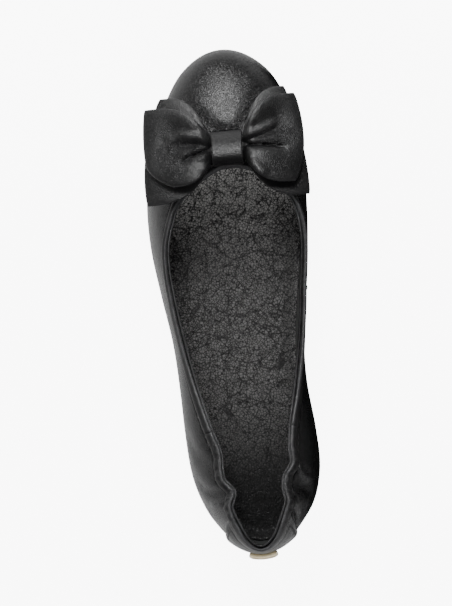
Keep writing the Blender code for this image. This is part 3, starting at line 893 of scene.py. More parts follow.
@dataclass
class Wardrobe:
    """All the finishes of the shoe, each built once, and the pieces dressed in them."""

    nappa: Finish = Leather(
        "black_nappa", Slot.LEATHER, (0.003, 0.003, 0.0032), (0.025, 0.025, 0.026), (0.22, 0.28),
        grain_size=0.65 * MM, grain_depth=0.08 * MM, wave_depth=0.14 * MM,
    )
    band: Finish = Leather(
        "black_band_leather", Slot.LEATHER, (0.004, 0.004, 0.0042), (0.060, 0.060, 0.062), (0.35, 0.41),
        grain_size=0.80 * MM, grain_depth=0.09 * MM, wave_size=6 * MM, wave_depth=0.10 * MM, slack_gain=3.0,
    )
    sock: Finish = PebbledLeather(
        "grained_sock", Slot.INSOLE, (0.003, 0.003, 0.0031), (0.32, 0.316, 0.31), (0.42, 0.75), specular=0.35,
    )
    lining: Finish = Elastic(
        "lining_cloth", Slot.LEATHER, (0.006, 0.007, 0.006), (0.026, 0.030, 0.028), (0.7, 0.9), sheen=0.04,
    )
    rubber: Finish = Rubber("black_rubber", Slot.RUBBER, (0.010, 0.010, 0.010), (0.05, 0.049, 0.048), (0.5, 0.75))
    gold: Finish = Gold("pale_gold", Slot.GOLD, (0.80, 0.64, 0.36), (0.95, 0.84, 0.60), (0.18, 0.34), metallic=0.6)
    thread: Finish = Thread("black_thread", Slot.LEATHER, (0.012, 0.012, 0.012), (0.06, 0.06, 0.06), (0.45, 0.65))
    made: dict[str, bpy.types.Material] = field(default_factory=dict)

    def dress(self, name: str, shape: Shape, finish: Finish, *nodes: str) -> bpy.types.Object:
        """Puts a surface into the scene as a smooth piece that rides on the shoe.

        Args:
            name: Name of the piece.
            shape: Its surface.
            finish: Its finish, built the first time that it is asked for.
            nodes: The CAD nodes that it stands for.

        Returns:
            The piece.
        """
        if finish.name not in self.made:
            self.made[finish.name] = finish.build()
        mesh = bpy.data.meshes.new(name)
        mesh.from_pydata(shape.points.tolist(), [], shape.outward_faces().tolist())
        for key, value in shape.values.items():
            layer = mesh.attributes.new(key, "FLOAT", "POINT")
            layer.data.foreach_set("value", np.ascontiguousarray(value, dtype=np.float32))
        mesh.shade_smooth()
        mesh.materials.append(self.made[finish.name])
        piece = place_object(name, mesh)
        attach(piece, "root")
        if nodes:
            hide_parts(*nodes)
        LOG.info("%s: %d points, %d faces", name, len(shape.points), len(shape.faces))
        return piece


@dataclass
class BandDrop:
    """How far the topline band reaches down the wall, from the heel to the throat on each side."""

    heel: float = 4.4 * MM
    joint: float = 4.0 * MM
    side: float = 4.0 * MM
    throat: float = 6.0 * MM

    def at(self, angle: Array) -> Array:
        """The drop at an angle: eased between heel, joint, side and throat."""
        away = np.abs(np.mod(angle + math.pi, TURN) - math.pi)
        heel_side = self.heel + (self.joint - self.heel) * ease((away - 0.5) / 0.5)
        to_side = heel_side + (self.side - self.joint) * ease((away - 1.0) / 0.4)
        return to_side + (self.throat - self.side) * ease((away - 1.9) / 0.9)


@dataclass
class Stitches:
    """A row of short rounded stitches."""

    pitch: float = 2.7 * MM
    length: float = 1.9 * MM
    radius: float = 0.19 * MM
    sink: float = 0.8
    rings: int = 6
    sides: int = 8

    def along(self, line: Array, normal: Array) -> Shape:
        """Stitches set end to end along a line.

        Each is a capsule: rings around its axis whose radius follows half an ellipse, pressed
        a little into the leather at both ends.

        Args:
            line: Points of the line.
            normal: The leather's outward direction at each of them.

        Returns:
            All the stitches as one surface.
        """
        steps = distances(line)
        count = int(steps[-1] / self.pitch)
        middle = (np.arange(count) + 0.5) * steps[-1] / count
        start, end = (sampled(middle + way * self.length / 2, steps, line) for way in (-1, 1))
        up = unit(sampled(middle, steps, normal))
        axis = unit(end - start)
        side = unit(np.cross(axis, up))
        up = np.cross(side, axis)
        along = np.linspace(-0.98, 0.98, self.rings)
        turn = np.arange(self.sides) / self.sides * TURN
        radius = self.radius * np.sqrt(1 - along**2)
        centre = (start + end)[:, None, :] / 2 + along[None, :, None] * (end - start)[:, None, :] / 2
        centre = centre - up[:, None, :] * (self.radius * self.sink * along**4)[None, :, None]
        around = (
            np.cos(turn)[None, None, :, None] * side[:, None, None, :]
            + np.sin(turn)[None, None, :, None] * up[:, None, None, :]
        )
        points = centre[:, :, None, :] + radius[None, :, None, None] * around
        one = tube(points[0])
        faces = one.faces[None] + (np.arange(count) * self.rings * self.sides)[:, None, None]
        return Shape(points.reshape(-1, 3), faces.reshape(-1, 4))


@dataclass
class LeatherUpper:
    """Vamp and quarters: one wall of soft leather, tucked under at the sole and drawn in at the heel."""

    last: Last
    band_drop: BandDrop
    columns: int = 760
    outer_rows: int = 72
    inner_rows: int = 20
    thickness: float = 1.5 * MM
    seam_gap: float = 0.40 * MM
    edge_round: float = 0.6 * MM
    tuck: float = 0.9 * MM
    tuck_reach: float = 1.3 * MM
    pleat_depth: float = 0.10 * MM
    pleat_reach: float = 2.2 * MM
    folds: tuple[Fold, ...] = (
        Fold(((-0.640, 0.95), (-0.700, 0.70), (-0.800, 0.45)), 3.6 * MM, 0.7 * MM, True),
        Fold(((-0.560, 0.95), (-0.560, 0.68), (-0.600, 0.42)), 3.2 * MM, 0.5 * MM, True),
        Fold(((-0.780, 0.95), (-0.900, 0.66), (-1.060, 0.48)), 4.4 * MM, 0.5 * MM, True),
        Fold(((-0.600, 0.90), (-0.640, 0.60)), 2.0 * MM, -0.35 * MM),
        Fold(((0.800, 0.97), (0.760, 0.84), (0.735, 0.70), (0.740, 0.56)), 1.5 * MM, -0.8 * MM, True),
        Fold(((0.700, 0.97), (0.690, 0.84), (0.670, 0.66), (0.650, 0.50)), 2.4 * MM, 0.7 * MM, True),
        Fold(((0.640, 0.92), (0.610, 0.80)), 1.1 * MM, -0.3 * MM),
        Fold(((0.560, 0.95), (0.500, 0.78), (0.440, 0.66)), 1.5 * MM, 0.5 * MM, True),
        Fold(((0.500, 0.96), (0.455, 0.82)), 1.2 * MM, -0.4 * MM, True),
        Fold((
            (3.72, 0.25), (3.60, 0.43), (3.50, 0.55), (3.40, 0.64), (3.30, 0.70), (3.14, 0.725), (2.98, 0.715),
            (2.88, 0.62), (2.80, 0.52), (2.70, 0.40), (2.60, 0.28),
        ), 3.8 * MM, 1.2 * MM),
    )

    def relief(self, angle: Array, rise: Array) -> Array:
        """Height of the folds and of the fine lasting pleats over the plain wall."""
        centred = np.mod(angle + math.pi, TURN) - math.pi
        points = self.last.wall_point(centred, rise)
        height = np.zeros(points.shape[:-1])
        for fold in self.folds:
            corners = np.array(fold.path)
            steps = np.linspace(0, len(corners) - 1, 4 * len(corners))
            path = self.last.wall_point(*sampled(steps, np.arange(len(corners)), corners).T)
            height += fold.height(points, path)
        pleats = np.sin(angle * 150 + 3 * np.sin(angle * 17)) * self.pleat_depth
        return height + bell(rise * self.last.wall_length(angle), self.pleat_reach) * pleats

    def shape(self) -> Shape:
        """The wall's surface.

        The section goes up the outer face, over a rounded edge under the band, down the inner
        face and round under the lasting edge. Each point is the last's wall moved along its
        normal by the folds, and inwards by the thickness on the inner face.
        """
        angle = Last.spread(self.columns)[None, :]
        length = self.last.wall_length(angle)
        edge = self.edge_round / length
        top = self.last.below(angle, self.band_drop.at(angle) + self.seam_gap) - edge
        turn = np.linspace(0, math.pi, 7)[1:-1, None]
        rise = np.concatenate([
            np.linspace(0.02, 1.0, self.outer_rows)[:, None] ** 1.1 * top,
            top + edge * np.sin(turn),
            np.linspace(1.0, 0.05, self.inner_rows)[:, None] * top,
        ])
        depth = -self.thickness * np.concatenate([
            np.zeros((self.outer_rows, 1)), (1 - np.cos(turn)) / 2, np.ones((self.inner_rows, 1)),
        ])
        height = self.relief(angle, np.clip(rise, 0.0, 1.0))
        tucked = bell(rise * length, self.tuck_reach) * self.tuck * (depth > -self.thickness / 2)
        grid = self.last.offset_wall(angle, rise, height + depth - tucked)
        slack = np.clip(np.abs(height) / (0.8 * MM), 0, 1)
        rub = np.clip(height / (0.5 * MM), 0, 1) * 0.7 + 0.5 * bell(rise * length, 3 * MM)
        return torus(self.last.placed(grid), rub=rub, slack=slack)

    def build(self, wardrobe: Wardrobe) -> None:
        """Adds the wall."""
        wardrobe.dress("leather_upper", self.shape(), wardrobe.nappa, "upper")


@dataclass
class ToplineBand:
    """The band folded over the topline: a soft padded outside, a groove and a thin inner rim."""

    last: Last
    band_drop: BandDrop
    joint_angle: float = 0.983
    section_points: int = 64
    thread_drop: float = 1.15 * MM
    thread_height: float = 0.60 * MM
    pinch: float = 0.28 * MM
    pinch_width: float = 0.006
    section: Pairs = (
        (-0.40, 1.06), (0.10, 1.04), (0.52, 0.98), (0.84, 0.84), (0.96, 0.64), (0.92, 0.42), (0.74, 0.20),
        (0.40, 0.05), (0.0, -0.01), (-0.40, 0.0), (-0.75, 0.07), (-1.00, 0.20), (-1.20, 0.36), (-1.42, 0.42),
        (-1.62, 0.34), (-1.76, 0.16), (-1.98, 0.03), (-2.28, 0.0), (-2.56, 0.08), (-2.70, 0.24), (-2.64, 0.50),
        (-2.45, 0.80), (-2.25, 1.04), (-1.90, 1.10), (-1.20, 1.08),
    )
    marks: tuple[Triple, ...] = ((1.646, 0.007, 0.45), (1.646, 0.022, -0.15))

    def rings(self, angle: Array, ripple: Array | float = 0.0) -> tuple[Array, Array]:
        """Rings of the band's section, one for each angle.

        The section is a closed curve through its table: distance out from the wall in
        millimetres and share of the band's drop below the topline. Each mark is a swell at an
        angle, with its half width and its height in millimetres.

        Args:
            angle: The angles.
            ripple: What the gathering adds to the outward distance, one row for each angle.

        Returns:
            The points and the rub values.
        """
        curve = closed_curve(np.array(self.section), self.section_points)
        angle = angle[:, None]
        out = curve[None, :, 0] * MM
        share = curve[None, :, 1]
        out = out + ripple * ease((out + 1.0 * MM) / (1.2 * MM)) * ease((share - 0.15) / 0.5)
        outside = ease((out + 0.8 * MM) / (0.8 * MM))
        for middle, width, height in self.marks:
            out = out + height * MM * bell(angle - middle, width) * outside
        for joint in (self.joint_angle, -self.joint_angle, TURN - self.joint_angle):
            out = out - self.pinch * bell(angle - joint, self.pinch_width) * outside
        rise = self.last.below(angle, self.band_drop.at(angle) * share)
        lip = bell(curve[:, 1] - 0.06, 0.16) * (curve[:, 0] > -1.0)
        rim = bell(curve[:, 0] + 1.8, 0.35) * (curve[:, 1] < 0.2)
        points = self.last.offset_wall(angle, rise, np.broadcast_to(out, rise.shape))
        return self.last.placed(points), np.clip(lip + rim, 0, 1)[None, :]

    def seam_thread(self, start: float, end: float, name: str, wardrobe: Wardrobe) -> None:
        """Sews a row of stitches along the band's lower edge.

        Args:
            start: Angle where the row starts.
            end: Angle where it ends.
            name: Name of the piece.
            wardrobe: The finishes.
        """
        angle = np.linspace(start, end, 2000)
        rise = self.last.below(angle, self.band_drop.at(angle) - self.thread_drop)
        line = self.last.offset_wall(angle, rise, np.full(angle.shape, self.thread_height))
        shape = Stitches().along(self.last.placed(line), self.last.wall_normal(angle, rise))
        wardrobe.dress(name, shape, wardrobe.thread)


@dataclass
class SmoothBinding(ToplineBand):
    """The smooth part of the band, from one joint round the throat to the other."""

    columns: int = 620
    joint_gap: float = 0.0006
    thread_inset: float = 0.02

    def build(self, wardrobe: Wardrobe) -> None:
        """Adds the binding and its seam."""
        start = self.joint_angle + self.joint_gap
        points, rub = self.rings(np.linspace(start, TURN - start, self.columns))
        wardrobe.dress("binding", tube(points, rub=rub, slack=0.0), wardrobe.band, "topline_binding")
        start += self.thread_inset
        self.seam_thread(start, TURN - start, "binding_stitches", wardrobe)


@dataclass
class GatheredCollar(ToplineBand):
    """The part of the band round the heel, drawn in by an elastic so that it puckers."""

    columns: int = 520
    thread_inset: float = 0.02
    puckers: tuple[Triple, ...] = (
        (-0.92, 0.016, 0.14), (-0.86, 0.016, 0.20), (-0.79, 0.014, 0.24), (-0.73, 0.014, 0.26), (-0.66, 0.012, 0.30),
        (-0.60, 0.014, 0.32), (-0.54, 0.014, 0.26), (-0.46, 0.018, 0.14),
        (0.46, 0.018, 0.14), (0.54, 0.014, 0.26), (0.61, 0.014, 0.32), (0.67, 0.012, 0.30),
        (0.74, 0.014, 0.24), (0.82, 0.016, 0.18), (0.90, 0.016, 0.12),
    )

    def ripple(self, angle: Array) -> Array:
        """How far the band stands out at each angle.

        Each pucker is a narrow groove between two low swells; the table gives its angle, its
        half width in the same measure and its depth in millimetres.
        """
        height = np.zeros(angle.shape)
        for middle, width, depth in self.puckers:
            away = (angle - middle) / width
            height -= depth * MM * (bell(away, 1.0) - 0.45 * bell(np.abs(away) - 1.7, 0.9))
        return height

    def build(self, wardrobe: Wardrobe) -> None:
        """Adds the collar and its seam."""
        angle = np.linspace(-1.0, 1.0, self.columns) * self.joint_angle
        ripple = self.ripple(angle)[:, None]
        points, rub = self.rings(angle, ripple)
        slack = np.clip(np.abs(ripple) / (0.4 * MM), 0, 1)
        wardrobe.dress("gathered_collar", tube(points, rub=rub, slack=slack), wardrobe.band, "elastic_collar")
        end = self.joint_angle - self.thread_inset
        self.seam_thread(-end, end, "collar_stitches", wardrobe)


@dataclass
class QuarterLining:
    """Thin ribbed lining inside the wall, from the sock up into the band."""

    last: Last
    band_drop: BandDrop
    columns: int = 420
    rows: int = 24
    thickness: float = 0.3 * MM
    from_wall: float = 1.62 * MM
    foot: float = 0.06
    drop_share: float = 0.60

    def build(self, wardrobe: Wardrobe) -> None:
        """Adds the lining: the wall's surface moved inwards, up one face and down the other."""
        angle = Last.spread(self.columns)[None, :]
        top = self.last.below(angle, self.drop_share * self.band_drop.at(angle))
        rise = self.foot + np.linspace(0.0, 1.0, self.rows)[:, None] * (top - self.foot)
        rise = np.concatenate([rise, rise[::-1]])
        depth = self.from_wall + self.thickness * np.repeat([0.0, 1.0], self.rows)[:, None]
        grid = self.last.offset_wall(angle, rise, -np.broadcast_to(depth, rise.shape))
        wardrobe.dress("quarter_lining", torus(self.last.placed(grid), rub=0.0), wardrobe.lining)


@dataclass
class HeelTab:
    """Leather tab over the back of the heel, with a rounded edge and a row of stitches."""

    last: Last
    band_drop: BandDrop
    half_angle: float = 0.41
    flare: float = 0.22
    foot: float = 0.12
    seat: float = 0.05 * MM
    thickness: float = 1.5 * MM
    edge: float = 0.15 * MM
    press_depth: float = 0.22 * MM
    rows: int = 90
    columns: int = 110
    seam_across: float = 0.86
    seam_up: tuple[float, float] = (0.09, 0.94)

    def spot(self, across: Array, up: Array) -> tuple[Array, Array]:
        """Angle and rise of a place on the tab.

        Args:
            across: From -1 at the lateral edge to 1 at the medial edge.
            up: From 0 at the lower edge to 1 at the collar.

        Returns:
            The angle and the share of the way up the wall.
        """
        angle = across * self.half_angle * (1 + self.flare * (2 * up - 1))
        top = self.last.below(angle, 0.72 * self.band_drop.at(angle))
        low = self.foot + 0.35 * (top - self.foot) * np.abs(across) ** 4
        return angle, low + up * (top - low)

    def build(self, wardrobe: Wardrobe) -> None:
        """Adds the tab.

        The tab is a sheet over the wall whose thickness falls to nothing along its edge as a
        quarter ellipse does; a shallow press line runs beside the edge.
        """
        turn = np.linspace(-1, 1, self.columns)[None, :]
        across = np.sin(turn * math.pi / 2 * 0.999)
        up = (1 - np.cos(np.linspace(0, 1, self.rows) * math.pi))[:, None] / 2
        angle, rise = self.spot(across, up)
        to_edge = np.minimum(1 - np.abs(across), np.broadcast_to(1.6 * np.minimum(up, 1 - up), angle.shape))
        rounded = np.sqrt(1 - (1 - np.clip(to_edge / 0.07, 0, 1)) ** 2)
        body = rounded * (1 - 0.55 * ease((up - 0.72) / 0.22))
        press = bell(to_edge - 0.14, 0.03) * self.press_depth
        height = self.seat + self.edge + (self.thickness - self.edge) * body - press
        top = self.last.offset_wall(angle, rise, height)
        under = self.last.offset_wall(angle, rise, np.full(angle.shape, self.seat))
        ring = np.concatenate([top, under[:, ::-1]], 1)
        rub = np.concatenate([bell(to_edge, 0.08), 0 * to_edge], 1)
        shape = tube(self.last.placed(ring), rub=rub, slack=0.0)
        wardrobe.dress("heel_tab_leather", shape, wardrobe.nappa, "heel_tab")
        self.sew(wardrobe)

    def sew(self, wardrobe: Wardrobe) -> None:
        """Adds a row of stitches down one side of the tab, along its foot and up the other side."""
        low, high = self.seam_up
        side = np.linspace(high, low + 0.04, 60)
        bottom = np.linspace(-self.seam_across, self.seam_across, 80)
        across = np.concatenate([np.full(60, bottom[0]), bottom, np.full(60, bottom[-1])])
        angle, rise = self.spot(across, np.concatenate([side, np.full(80, low), side[::-1]]))
        line = self.last.offset_wall(angle, rise, np.full(angle.shape, self.seat + self.thickness - 0.05 * MM))
        stitches = Stitches(pitch=2.4 * MM, length=1.7 * MM)
        shape = stitches.along(self.last.placed(line), self.last.wall_normal(angle, rise))
        wardrobe.dress("tab_stitches", shape, wardrobe.thread)


@dataclass
class HeelPlate:
    """Plain gold bar on the tab, bent with the heel, with a bevelled rim."""

    last: Last
    half_width: float = 6.0 * MM
    height: float = 6.5 * MM
    centre_share: float = 0.56
    seat: float = 1.4 * MM
    thickness: float = 1.6 * MM
    tilt: float = 1.5 * MM
    corner: float = 1.30
    steps: Pairs = (
        (0.0, 0.0), (0.9, 0.0), (1.0, 0.10), (1.0, 0.55), (0.965, 0.80), (0.90, 0.92), (0.84, 0.94), (0.80, 1.0),
        (0.4, 1.0), (0.0, 1.0),
    )

    def build(self, wardrobe: Wardrobe) -> None:
        """Adds the bar, thicker towards its lower edge.

        Each step gives a ring's share of the bar's size and of its thickness. The rings are
        squares with their corners cut to a distance from the middle.
        """
        turn = np.arange(96) / 96 * TURN
        rounded = np.minimum(1 / np.maximum(np.abs(np.cos(turn)), np.abs(np.sin(turn))), self.corner)
        length = float(self.last.wall_length(np.array(0.0)))
        nudge = 0.01
        here, beside = self.last.wall_point(np.array([0.0, nudge]), np.full(2, self.centre_share))
        metres_per_turn = float(np.linalg.norm(beside - here)) / nudge
        rings = []
        rub = []
        for share, up in self.steps:
            wide = (share or 0.8) * rounded * np.cos(turn)
            high = share * rounded * np.sin(turn)
            angle = wide * self.half_width / metres_per_turn
            rise = self.centre_share + high * self.height / 2 / length
            thickness = self.thickness + self.tilt * (1 - high) / 2
            rings.append(self.last.offset_wall(angle, rise, self.seat + up * thickness))
            rub.append(np.full(turn.shape, float(0.6 < up < 1 and share > 0.9)))
        shape = pillow(self.last.placed(np.array(rings)), rub=np.array(rub))
        wardrobe.dress("gold_bar", shape, wardrobe.gold, "heel_plate")


@dataclass(frozen=True)
class RibbonEnd:
    """One end of a ribbon loop: its reach and spread, as shares of the bow's span.

    The corner is how far the heel side of its fold is rounded off.
    """

    reach_toe: float
    reach_heel: float
    bulge: float
    spread_toe: float
    spread_heel: float
    corner: float = 0.0


@dataclass(frozen=True)
class Ribbon:
    """One ribbon loop: its two ends, its place in the stack and how far it opens.

    The rises, the puff and the hollow are shares of the bow's span. The folds' paths are in
    metres from the bow's middle. Where the sheet is crumpled, its grain opens: each grained
    place has a middle and two half widths in millimetres from the bow's middle.
    """

    name: str
    node: str
    lateral: RibbonEnd
    medial: RibbonEnd
    lower: int
    upper: int
    lower_rise: float
    upper_rise: float
    puff: float
    hollow: float
    folds: tuple[Fold, ...] = ()
    grained: tuple[tuple[float, float, float, float], ...] = ()


def fold_mm(width: float, depth: float, *path: tuple[float, float]) -> Fold:
    """A fold that starts at full depth, given in millimetres from the bow's middle."""
    return Fold(tuple((x * MM, y * MM) for x, y in path), width * MM, depth * MM, True)


@dataclass
class Bow:
    """Two flat ribbon loops drawn together by a knot, lying on the vamp."""

    last: Last
    span: float = 77.0 * MM
    droop: float = 7.0 * MM
    droop_power: float = 2.4
    vamp_gap: float = 0.9 * MM
    ribbon_thickness: float = 1.1 * MM
    pinch_gap: float = 0.35 * MM
    pinch_inset: float = 1.3 * MM
    spread_power: float = 3.2
    opening_reach: float = 0.18
    opening_power: float = 2.4
    puff_reach: float = 0.34
    hollow_across: tuple[float, float] = (0.15, 0.28)
    gather_depth: float = 0.22 * MM
    gather_pitch: float = 0.85 * MM
    gather_reach: float = 0.22
    knot_width: float = 15.0 * MM
    knot_length: float = 17.0 * MM
    knot_wall: float = 1.3 * MM
    knot_crown: float = 2.9 * MM
    knot_lean: float = 2.0 * MM
    knot_gap: float = 0.3 * MM
    knot_waist: float = 0.035
    knot_flat: float = 0.93
    knot_rows: int = 26
    knot_turns: int = 150
    way_points: int = 330
    across_points: int = 74
    back: Ribbon = Ribbon(
        "rear_ribbon", "bow_back",
        RibbonEnd(0.395, 0.521, 0.050, 0.345, 0.318), RibbonEnd(0.375, 0.480, 0.030, 0.361, 0.327),
        0, 1, 0.000, 0.018, 0.0, 0.0,
        (
            fold_mm(2.4, 0.5, (-8, -7), (-16, -17), (-26, -22)),
            fold_mm(2.4, 0.5, (8, -7), (15, -17), (24, -22)),
        ),
    )
    front: Ribbon = Ribbon(
        "front_ribbon", "bow_front",
        RibbonEnd(0.492, 0.475, 0.029, 0.282, 0.218, 0.13), RibbonEnd(0.436, 0.402, 0.051, 0.308, 0.242),
        2, 3, 0.020, 0.046, 0.040, 0.034,
        (
            fold_mm(2.2, -0.9, (-7.8, 2.4), (-13.7, 5.6), (-20.5, 7.4), (-26.6, 6.0), (-31.4, 1.0)),
            fold_mm(1.6, 1.7, (-7.6, 0.9), (-14.0, 2.5), (-20.0, 2.9), (-25.3, 1.6)),
            fold_mm(1.3, 2.6, (-7.5, -0.5), (-11.7, -1.1), (-17.1, -2.9), (-23.4, -6.3)),
            fold_mm(2.6, -1.0, (-6.7, -4.6), (-9.5, -9.1), (-11.5, -13.2)),
            fold_mm(3.2, 0.4, (-30.9, 5.7), (-33.6, -0.1), (-33.5, -5.3), (-31.4, -8.9), (-25.8, -13.7)),
            fold_mm(2.0, -0.8, (8.1, 3.5), (14.3, 5.7), (21.0, 8.2), (26.4, 11.0)),
            fold_mm(1.4, 1.7, (8.4, 2.1), (15.4, 4.0), (22.5, 6.4), (27.4, 8.4)),
            fold_mm(1.3, 3.0, (8.1, 0.7), (15.1, -0.0), (21.9, -0.9), (29.5, -2.6)),
            fold_mm(2.6, -1.0, (8.5, -4.2), (12.1, -9.2), (15.2, -13.4), (17.9, -16.6)),
        ),
        ((-22.0, -1.0, 12.0, 6.5), (24.5, 3.5, 11.0, 5.0)),
    )

    def ridge_height(self, y: Array) -> Array:
        """Height of the vamp's ridge at a distance along the shoe."""
        ridge = self.last.wall_point(np.full(200, math.pi), np.linspace(0.3, 1.0, 200))
        order = np.argsort(ridge[:, 1])
        return np.interp(y, ridge[order, 1], ridge[order, 2])

    def lift(self, x: Array, y: Array, height: Array) -> Array:
        """Height over the gently drooping surface on which the bow's lowest sheet lies."""
        middle = self.last.bow_middle()
        reach = self.knot_length / 2
        slope = (self.ridge_height(middle + reach) - self.ridge_height(middle)) / reach
        under = self.ridge_height(middle) + self.vamp_gap + self.knot_wall
        droop = self.droop * (np.abs(x) / (self.span / 2)) ** self.droop_power
        return under + slope * (y - middle) - droop + height

    def middle(self, ribbon: Ribbon, way: Array, across: Array) -> Array:
        """Middle of a ribbon's sheet.

        The loop's breadth grows from the pinch at the knot to its spread, fast at first. Its
        two sheets come apart by their rises soon after the knot, and by the puff, which then
        sinks again. They join in a round fold at each end. A hollow, drawn into the upper
        sheet by the knot, widens outwards and fades, and fine gathers leave the knot.

        Args:
            ribbon: The ribbon.
            way: From 0 at the middle of the lower sheet, a quarter turn at the medial fold.
            across: From -1 at the heel edge to 1 at the toe edge.

        Returns:
            The points.
        """
        def of_side(key: str) -> Array:
            return self.span * np.where(np.sin(way) > 0, getattr(ribbon.medial, key), getattr(ribbon.lateral, key))

        reach = of_side("reach_heel") + (of_side("reach_toe") - of_side("reach_heel")) * (across + 1) / 2
        reach = reach + of_side("bulge") * (1 - across**2)
        reach = reach - of_side("corner") * np.clip((-across - 0.25) / 0.75, 0.0, 1.0) ** 2
        spread = np.where(across > 0, of_side("spread_toe"), of_side("spread_heel"))
        pinched = self.knot_length / 2 - self.knot_wall - self.pinch_inset
        x = np.sin(way) * reach
        knot_edge = self.knot_width / 2 + self.knot_gap
        past = np.clip((np.abs(x) - knot_edge) / (reach - knot_edge), 0.0, 1.0)
        offset = across * (pinched + (spread - pinched) * settled(past, self.spread_power))
        out = np.clip((np.abs(x) - knot_edge) / (self.span / 2 - knot_edge), 0.0, 1.0)
        opened = settled(out / self.opening_reach, self.opening_power)
        puff = settled(out / self.puff_reach, 2.0) * (1 - 0.7 * ease((out - 0.1) / 0.9))
        shifted = across - np.where(x < 0, *self.hollow_across)
        hollow = bell(shifted, 0.40 + 0.22 * out) * (1 - ease((out - 0.50) / 0.40)) * ease(out / 0.22)
        gathers = self.gather_depth * np.sin(offset / self.gather_pitch) * bell(past, self.gather_reach) * (past > 0)
        flat = np.stack([x, offset], -1)
        relief = sum((fold.height(flat, np.array(fold.path)) for fold in ribbon.folds), np.zeros(x.shape))
        pitch = self.ribbon_thickness + self.pinch_gap
        lower = pitch * (ribbon.lower + 0.5) + self.span * ribbon.lower_rise * opened
        upper = pitch * (ribbon.upper + 0.5) + self.span * (ribbon.upper_rise * opened + ribbon.puff * puff)
        on_top = ease((-np.cos(way) + 0.05) / 0.35)
        upper = upper + (relief - self.span * ribbon.hollow * hollow + gathers) * on_top
        upper = np.maximum(upper, lower + 0.8 * self.ribbon_thickness * on_top)
        height = self.pinch_gap / 2 + (lower + upper) / 2 - bent(np.cos(way), 0.5) * (upper - lower) / 2
        y = self.last.bow_middle() + offset
        return np.stack([x, y, self.lift(x, y, height)], -1)

    def ribbon_shape(self, ribbon: Ribbon) -> Shape:
        """A ribbon loop with its thickness and rounded edges.

        The section goes across the outside, round one edge, back across the inside and round
        the other edge. Each point is the sheet's middle moved along its normal.
        """
        even = np.linspace(-1, 1, self.across_points)
        turn = np.linspace(0, math.pi, 6)[1:-1]
        edge = 0.5 * self.ribbon_thickness / (0.3 * self.span)
        across = np.concatenate([
            even * (1 - edge), 1 - edge + edge * np.sin(turn),
            even[::-2] * (1 - edge), -1 + edge - edge * np.sin(turn),
        ])[None, :]
        side = np.concatenate([
            np.ones(len(even)), np.cos(turn), -np.ones(len(even[::-2])), -np.cos(turn),
        ])[None, :]
        way = (np.arange(self.way_points) / self.way_points * TURN)[:, None]
        way, across = np.broadcast_arrays(way, across)
        nudge = 2e-3
        middle = self.middle(ribbon, way, across)
        along = self.middle(ribbon, way + nudge, across) - self.middle(ribbon, way - nudge, across)
        width = self.middle(ribbon, way, across + nudge) - self.middle(ribbon, way, across - nudge)
        normal = unit(np.cross(along, width))
        thin = self.ribbon_thickness * (1 - 0.55 * bell(1 - np.abs(across), 0.06))
        points = middle + normal * (side * thin / 2)[..., None]
        rub = 0.2 * bell(1 - np.abs(across), 0.03) + 0.1 * bell(np.cos(way), 0.10)
        slack = np.zeros(across.shape)
        from_middle = (middle - np.array([0.0, self.last.bow_middle(), 0.0])) / MM
        for x, y, wide, high in ribbon.grained:
            away = ((from_middle[..., 0] - x) / wide) ** 2 + ((from_middle[..., 1] - y) / high) ** 2
            slack = np.maximum(slack, 1 - ease((away - 0.1) / 1.4))
        slack = slack * (np.cos(way) < 0)
        return torus(self.last.placed(points), rub=np.clip(rub, 0, 1), slack=slack)

    def knot_shape(self) -> Shape:
        """The knot: a band round both ribbons.

        Its outside is a flattened ring whose domed top leans down towards the toe. Its edges
        are rounded and its top is drawn in a little.
        """
        stack = 4 * (self.ribbon_thickness + self.pinch_gap) + self.pinch_gap
        turn = np.arange(self.knot_turns) / self.knot_turns * TURN
        sweep = np.linspace(-1, 1, self.knot_rows) * self.knot_flat
        lip = np.linspace(0, math.pi, 8)[1:-1]
        end = self.knot_flat + (1 - self.knot_flat) * np.sin(lip)
        x_share = np.concatenate([sweep, end, sweep[::-1], -end])
        outer = np.ones(self.knot_rows)
        wall = np.concatenate([outer, (1 + np.cos(lip)) / 2, 0 * outer, (1 - np.cos(lip)) / 2])
        wall = (wall * self.knot_wall)[:, None]
        cos, sin = np.cos(turn)[None, :], np.sin(turn)[None, :]
        half_z = stack / 2 + wall
        share = bent(cos, 0.64)
        y = (self.knot_length / 2 - self.knot_wall + wall) * share
        z = half_z * bent(sin, 0.72)
        z = z + self.knot_crown * (1 - share**2) * ease(z / half_z) - self.knot_lean * share * (z > 0)
        drawn = 1 - self.knot_waist * bell(share, 0.6) * (z > 0)
        x = self.knot_width / 2 * x_share[:, None] * drawn
        y = self.last.bow_middle() + y
        points = np.stack([x, y, self.lift(x, y, stack / 2 + z)], -1)
        rub = 0.2 * bell(1 - np.abs(x_share), 0.06)[:, None]
        return torus(self.last.placed(points), rub=rub, slack=0.0)

    def build(self, wardrobe: Wardrobe) -> None:
        """Adds both ribbons and the knot."""
        for ribbon in (self.back, self.front):
            wardrobe.dress(ribbon.name, self.ribbon_shape(ribbon), wardrobe.band, ribbon.node)
        wardrobe.dress("knot", self.knot_shape(), wardrobe.band, "bow_knot")


